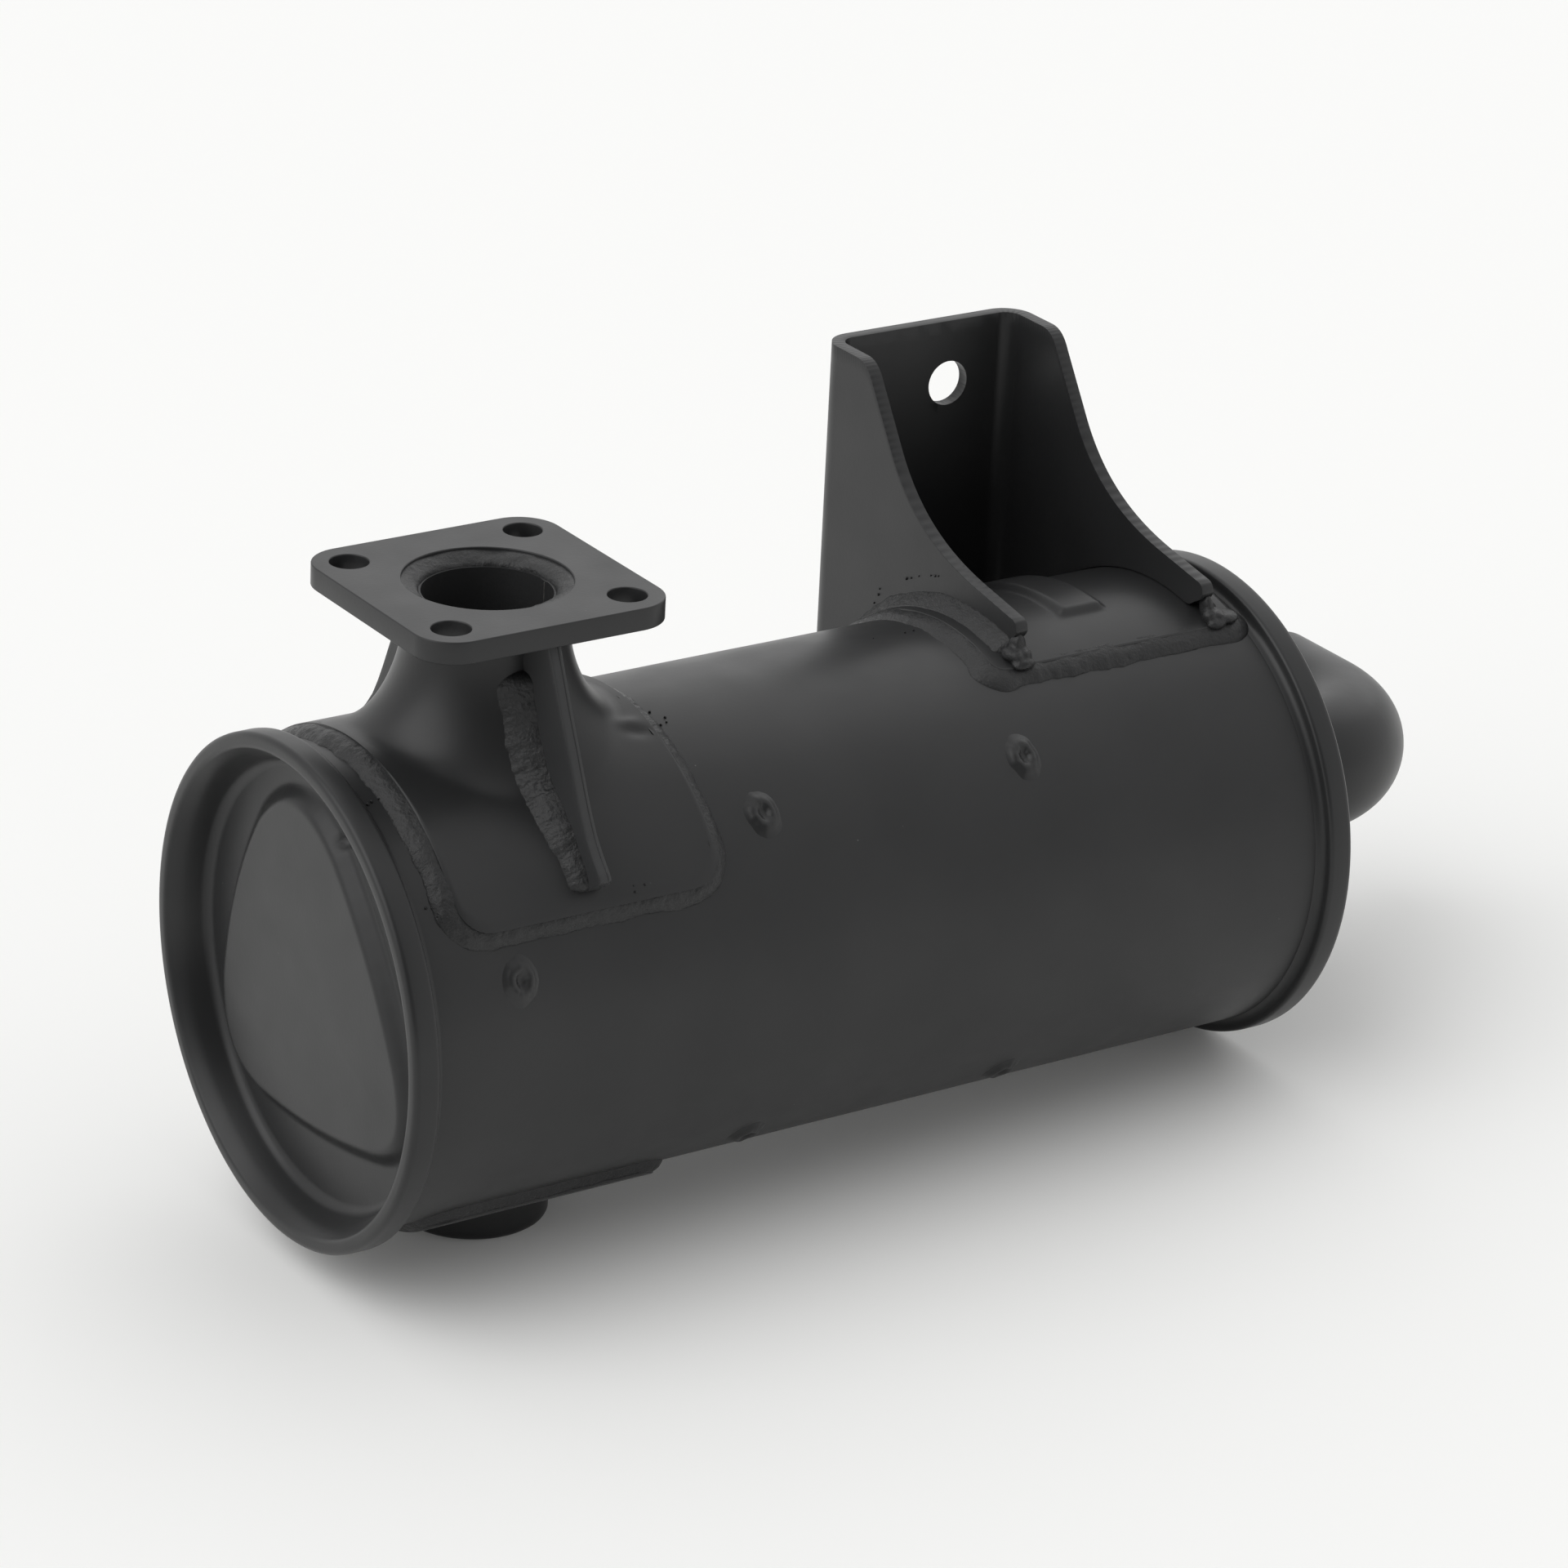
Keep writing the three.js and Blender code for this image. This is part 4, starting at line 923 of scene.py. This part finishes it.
# a cheek's upper edge as (y, height): shoulder, straight, long sweep, straight, round nose
SHOULDER = ((64, BRACKET_TOP), (58.5, BRACKET_TOP), (55.5, 127.5))
SWEEP = ((43, 108.5), (33, 94), (18, 86), (-4, 82.5))
NOSE = (-21, 79.6)


def height_on(curve, control, y):
    """Height at y on a falling curve through control points (y, height)."""
    across, heights = zip(*control)
    low, high = 0.0, 1.0
    for _ in range(30):
        mid = (low + high) / 2
        low, high = (mid, high) if curve(mid, *across) > y else (low, mid)
    return curve(low, *heights)


def height_between(a, b, y):
    return a[1] + (b[1] - a[1]) * (y - a[0]) / (b[0] - a[0])


def top_of(y):
    """Height of a cheek's upper edge at y."""
    if y >= SHOULDER[0][0]:
        return BRACKET_TOP
    if y >= SHOULDER[-1][0]:
        return height_on(quadratic, SHOULDER, y)
    if y >= SWEEP[0][0]:
        return height_between(SWEEP[0], SHOULDER[-1], y)
    if y >= SWEEP[-1][0]:
        return height_on(cubic, SWEEP, y)
    if y >= NOSE[0]:
        return height_between(NOSE, SWEEP[-1], y)
    t = (NOSE[0] - y) / 3.0
    return NOSE[1] - 3.1 * (1 - math.sqrt(max(0, 1 - t * t)))


def bottom_of(y):
    """Height of a cheek's lower edge at y: along the doubler, and lifted under the nose."""
    drum = R_SHELL + GAP + DOUBLER_SHEET + GAP
    z = math.sqrt(max(0.0, drum * drum - y * y))
    if y < -16:
        z = max(z, 70 + 3.6 * min(1, (-16 - y) / 5.5))
    if y < -21.5:
        z = max(z, 73.6 + 2.6 * ((-21.5 - y) / 2.5) ** 2)
    return max(z, BRACKET_BOTTOM)


def upright(x, y, steps=26):
    """Points up the bracket at one place of its plan."""
    low, high = bottom_of(y), top_of(y)
    return [(x, y, low + (high - low) * k / steps) for k in range(steps + 1)]


def folded(cx, start):
    """Plan of a bend, from the start angle round by a right angle: (x, y, outward x, outward y)."""
    made = []
    for k in range(1, 12):
        a = math.radians(start - 90 * k / 12)
        made.append((cx + BRACKET_BEND * math.cos(a), BEND_Y + BRACKET_BEND * math.sin(a),
                     math.cos(a), math.sin(a)))
    return made


# plan of the outer face, from the left cheek's nose round the back to the right cheek's nose
BEND_Y = BRACKET_BACK - BRACKET_BEND
ys = [BRACKET_FRONT + back_by for back_by in (0, 0.3, 0.8, 1.5, 2.5, 4, 6, 8)]
ys += list(np.arange(BRACKET_FRONT + 10, 42, 1.5)) + list(np.arange(42, BEND_Y, 0.6)) + [BEND_Y]
plan = [(BRACKET_X0, y, -1.0, 0.0) for y in ys] + folded(BRACKET_X0 + BRACKET_BEND, 180)
plan += [(x, BRACKET_BACK, 0.0, 1.0)
         for x in np.linspace(BRACKET_X0 + BRACKET_BEND, BRACKET_X1 - BRACKET_BEND, 14)]
plan += folded(BRACKET_X1 - BRACKET_BEND, 90) + [(BRACKET_X1, y, 1.0, 0.0) for y in reversed(ys)]
rows = [upright(x, y) + upright(x - nx * BRACKET_SHEET, y - ny * BRACKET_SHEET)[::-1]
        for x, y, nx, ny in plan]
mesh = mesh_of("bracket", *grid(rows, False, True, caps=True))
face_outward(mesh)
bracket = linked("bracket", mesh)
mesh = drilled(bracket, "punch", (HOLE_X, HOLE_Z), HOLE_R, (60, 100), 80)
bpy.data.objects.remove(bracket)
dress("mounting_bracket_folded", mesh, PLATE, "black_paint", "mounting_bracket", sharp=40, bevel=0.55)


def bracket_bead(name, hand, node, seed):
    """Fillet outside a cheek, from its nose up over the doubler and down the back."""
    face = BRACKET_X0 if hand < 0 else BRACKET_X1
    base = R_SHELL + GAP + DOUBLER_SHEET
    stations = []
    for degrees in np.arange(17.5, -71, -0.55):
        a = math.radians(degrees)
        outward = np.array((0, -math.sin(a), math.cos(a)))
        stations.append((on_drum(face, degrees, base), np.array((hand * 1.0, 0, 0)), outward,
                         4.8, 3.8, 0.1))
    bead(name, stations, [node], seed, lump=0.14, ripple=0.03)


bracket_bead("bracket_bead_left", -1, "bracket_weld_left", 41.0)
bracket_bead("bracket_bead_right", 1, "bracket_weld_right", 42.0)


def blob(centre, size, seed, rough, steps=20):
    """Points and faces of a rough lump."""
    rows = []
    for i in range(1, steps):
        a = math.pi * i / steps
        row = []
        for j in range(steps * 2):
            b = math.pi * j / steps
            n = np.array((math.sin(a) * math.cos(b), math.sin(a) * math.sin(b), math.cos(a)))
            grow = 1 + rough * fbm(n * 6 + np.array(centre), 5, 3, seed)
            row.append(np.array(centre) + n * np.array(size) * grow)
        rows.append(row)
    return grid(rows, False, True, caps=True)


NOSE_VOXEL = 0.00042
for side, hand, k in (("left", -1, 1.0), ("right", 1, 0.8)):
    name = "nose_bead_" + side
    x = (BRACKET_X0 if hand < 0 else BRACKET_X1) - hand * 1.6
    lumps = [
        blob((x + hand * 0.2, BRACKET_FRONT + 1.0, 71.6), (2.4 * k, 2.5, 4.0), 51.0 + hand, 0.16),
        blob((x - hand * 0.2, BRACKET_FRONT - 1.2, 69.4), (2.9 * k, 2.8 * k, 2.4), 53.0 + hand, 0.16),
        blob((x + hand * 2.4, BRACKET_FRONT + 0.2, 69.6), (3.2 * k, 4.2, 2.2 * k), 55.0 + hand, 0.16),
        blob((x + hand * 1.0, BRACKET_FRONT - 3.4, 67.6), (3.8 * k, 2.5 * k, 1.8), 57.0 + hand, 0.16),
    ]
    if hand > 0:
        lumps.append(blob((x + 5.6, BRACKET_FRONT - 0.6, 68.4), (4.6, 4.6, 1.7), 59.0, 0.1))
    lump = linked(name, mesh_of(name, *joined(*lumps)))
    merge = lump.modifiers.new("merge", "REMESH")
    merge.mode, merge.voxel_size = "VOXEL", NOSE_VOXEL
    soften = lump.modifiers.new("soften", "SMOOTH")
    soften.factor, soften.iterations = 0.6, 5
    mesh = applied(lump)
    bpy.data.objects.remove(lump)
    dress(name, mesh, WELD, "weld_paint", "bracket_nose_weld_" + side, sharp=80)


# ------ tail pipe
PIPE_BEND, PIPE_SHEET, PIPE_STEPS = 27, 2, 112
corner_x = PIPE_X - PIPE_BEND
path = [(x, 0.0, 0.0) for x in np.linspace(mm(pipe_lo.x, 0), corner_x, 12)]
path += [(corner_x + PIPE_BEND * math.sin(a), PIPE_BEND * (1 - math.cos(a)), a)
         for a in np.linspace(0, math.pi / 2, 28)[1:]]
path += [(PIPE_X, y, math.pi / 2) for y in np.linspace(PIPE_BEND, PIPE_Y, 8)[1:]]


def pipe_rows(radius):
    """Rings along the pipe's path."""
    made = []
    for x, y, turn in path:
        ring = []
        for a in turns(PIPE_STEPS):
            across = radius * math.cos(a)
            ring.append((x - across * math.sin(turn), y + across * math.cos(turn),
                         radius * math.sin(a)))
        made.append(ring)
    return made


outer, inner = pipe_rows(PIPE_RADIUS), pipe_rows(PIPE_RADIUS - PIPE_SHEET)
piece("tail_pipe_bent", *grid(outer + inner[::-1], True, True), BODY, "black_paint", "tail_pipe",
      sharp=50)
stations = []
for a in turns(190):
    radial = np.array((0, math.cos(a), math.sin(a)))
    corner = np.array((LENGTH - CAP_DEPTH, 0, 0)) + radial * PIPE_RADIUS
    stations.append((corner, radial, np.array((1.0, 0, 0)), 4.4, 3.4, 0.4))
bead("tail_pipe_bead", stations, ["tail_pipe_weld"], 61.0, closed=True)


# ------ plug welds
# a plug weld's ring-shaped swell, as (radius, height)
PLUG_LINE = ((0.6, 0.12), (1.2, 0.3), (1.8, 0.75), (2.5, 1.25), (3.3, 1.45), (4.1, 1.25),
             (4.9, 0.75), (5.6, 0.3), (6.4, 0.02), (7.2, -0.3))


def plug(name, node, seed):
    """A plug weld where the CAD node is."""
    low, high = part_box(node)
    mid = (low + high) / 2
    x = mm(mid.x, 0)
    degrees = math.degrees(math.atan2(-mm(mid.y, 1), mm(mid.z, 2)))
    rows = []
    for a in turns(64):
        wobble = 1 + 0.09 * fbm((4 * math.cos(a), 4 * math.sin(a), seed), 3, 2, seed)
        row = []
        for r, z in PLUG_LINE:
            u, v = r * wobble * math.cos(a) * 0.84, r * wobble * math.sin(a) * 1.12
            bump = 0.22 * fbm((u, v, seed * 3), 2.4, 2, seed) * math.exp(-((r - 3) / 2.5) ** 2)
            row.append(on_drum(x + u, degrees + math.degrees(v / R_SHELL), R_SHELL + z * 0.92 + bump))
        rows.append(row)
    piece(name, *dish(rows), BODY, "weld_paint", node, sharp=80)


for index, node in enumerate(sorted(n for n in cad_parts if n.startswith("plug_weld"))):
    plug(node.replace("plug_weld", "plug_bead"), node, 70.0 + index)

# ------ spatter
# dots round a place on the drum: x, degrees, radius, spread, how many, least and greatest size
SPLASHES = (
    (17, 22, R_SHELL, 6, 8, 0.25, 0.6), (16, 50, R_SHELL, 5, 4, 0.2, 0.4),
    (217, 21, R_SHELL, 3.0, 6, 0.35, 0.8), (205, -2, R_SHELL, 8, 3, 0.2, 0.4),
    (309, 16, R_SHELL, 3, 5, 0.25, 0.5), (75, 57, R_SHELL + 3.1, 4, 3, 0.2, 0.4),
    (107, 15, R_SHELL, 7, 14, 0.2, 0.42), (108, 33, R_SHELL, 5, 7, 0.2, 0.4))
# dots on the left cheek's outer face: y, z, size
CHEEK_DOTS = ((46.3, 63.6, 0.4), (45.8, 65.6, 0.3), (32.2, 73.6, 0.45), (29.9, 74.6, 0.3),
              (26, 76.5, 0.25), (17.8, 79.4, 0.35), (20, 78.8, 0.25), (16.2, 79.9, 0.25),
              (48.2, 60.2, 0.3))
dots = []
rng = np.random.default_rng(7)
for centre_x, centre_deg, radius, spread, count, small, large in SPLASHES:
    for _ in range(count):
        x = centre_x + rng.normal(0, spread / 2)
        degrees = centre_deg + math.degrees(rng.normal(0, spread / 2) / R_SHELL)
        size = rng.uniform(small, large)
        centre = on_drum(x, degrees, radius + size * 0.35)
        dots.append(blob(centre, (size, size, size), rng.uniform(0, 9), 0.3, 8))
for y, z, size in CHEEK_DOTS:
    dots.append(blob((BRACKET_X0 - 0.1, y, z), (size, size, size), y, 0.3, 8))
SPATTER = paint("spatter_paint", tone=0.01, shine=0.35, specks=False)
piece("weld_spatter", *joined(*dots), SPATTER, "weld_paint", sharp=80)

# ------ stage and light
# The floor is a large sheet that touches the foot and the rear rim.
FLOOR_HALF, FLOOR_DROP = 9.0, 0.0002
stage_mesh = bpy.data.meshes.new("floor")
rest_x, rest_z = (foot_lo.x + foot_hi.x) / 2, foot_lo.z
slope = (rear_lo.z - rest_z) / (rear_lo.x - rest_x)
floor_corners = []
for x, y in ((-FLOOR_HALF, -FLOOR_HALF), (FLOOR_HALF, -FLOOR_HALF),
             (FLOOR_HALF, FLOOR_HALF), (-FLOOR_HALF, FLOOR_HALF)):
    floor_corners.append((x, y, rest_z - FLOOR_DROP + slope * (x - rest_x)))
stage_mesh.from_pydata(floor_corners, [], [(0, 1, 2, 3)])
floor = linked("floor", stage_mesh)
floor_paint = bpy.data.materials.new("floor_paper")
floor_paint.use_nodes = True
floor_shader = floor_paint.node_tree.nodes["Principled BSDF"]
# The floor also glows faintly: painted light that lifts the shadows on it.
put(floor_shader, {"Base Color": (0.88, 0.88, 0.869, 1), "Roughness": 0.9, "Specular IOR Level": 0.0,
                   "Emission Color": (1, 1, 0.987, 1), "Emission Strength": 0.05})
stage_mesh.materials.append(floor_paint)

world = bpy.data.worlds.new("studio")
world.use_nodes = True
sky = world.node_tree
sky.nodes["Background"].inputs[0].default_value = (1, 1, 1, 1)
# The studio is evenly bright, with a dimmer open side in front.
OPEN_SIDE = Vector((-0.52, -0.76, 0.39)).normalized()
OUTER_ANGLE, INNER_ANGLE = math.radians(62), math.radians(22)
WALL_LIGHT, OPEN_LIGHT = 0.8, 0.04
facing = sky.nodes.new("ShaderNodeVectorMath")
facing.operation = "DOT_PRODUCT"
facing.inputs[1].default_value = OPEN_SIDE
sky.links.new(sky.nodes.new("ShaderNodeTexCoord").outputs["Generated"], facing.inputs[0])
dimmer = sky.nodes.new("ShaderNodeMapRange")
dimmer.interpolation_type = "SMOOTHSTEP"
put(dimmer, {"From Min": math.cos(OUTER_ANGLE), "From Max": math.cos(INNER_ANGLE),
             "To Min": WALL_LIGHT, "To Max": OPEN_LIGHT})
sky.links.new(facing.outputs["Value"], dimmer.inputs["Value"])
sky.links.new(dimmer.outputs["Result"], sky.nodes["Background"].inputs[1])
bpy.context.scene.world = world


def sun(name, direction, strength, width):
    """A soft light from a direction, seen as width degrees wide."""
    lamp = bpy.data.lights.new(name, "SUN")
    lamp.energy = strength
    lamp.angle = math.radians(width)
    obj = linked(name, lamp)
    obj.rotation_mode = "QUATERNION"
    obj.rotation_quaternion = Vector(direction).to_track_quat("Z", "Y")


sun("soft_left", (-0.9, 0.02, 0.9), 0.98, 60)
sun("soft_front_left", (-0.95, -0.25, 0.6), 0.4, 60)
sun("soft_right", (0.6, 0.6, 0.7), 0.36, 60)
sun("soft_top", (-0.1, -0.15, 1.0), 0.12, 80)
bpy.context.scene.view_settings.view_transform = "Standard"
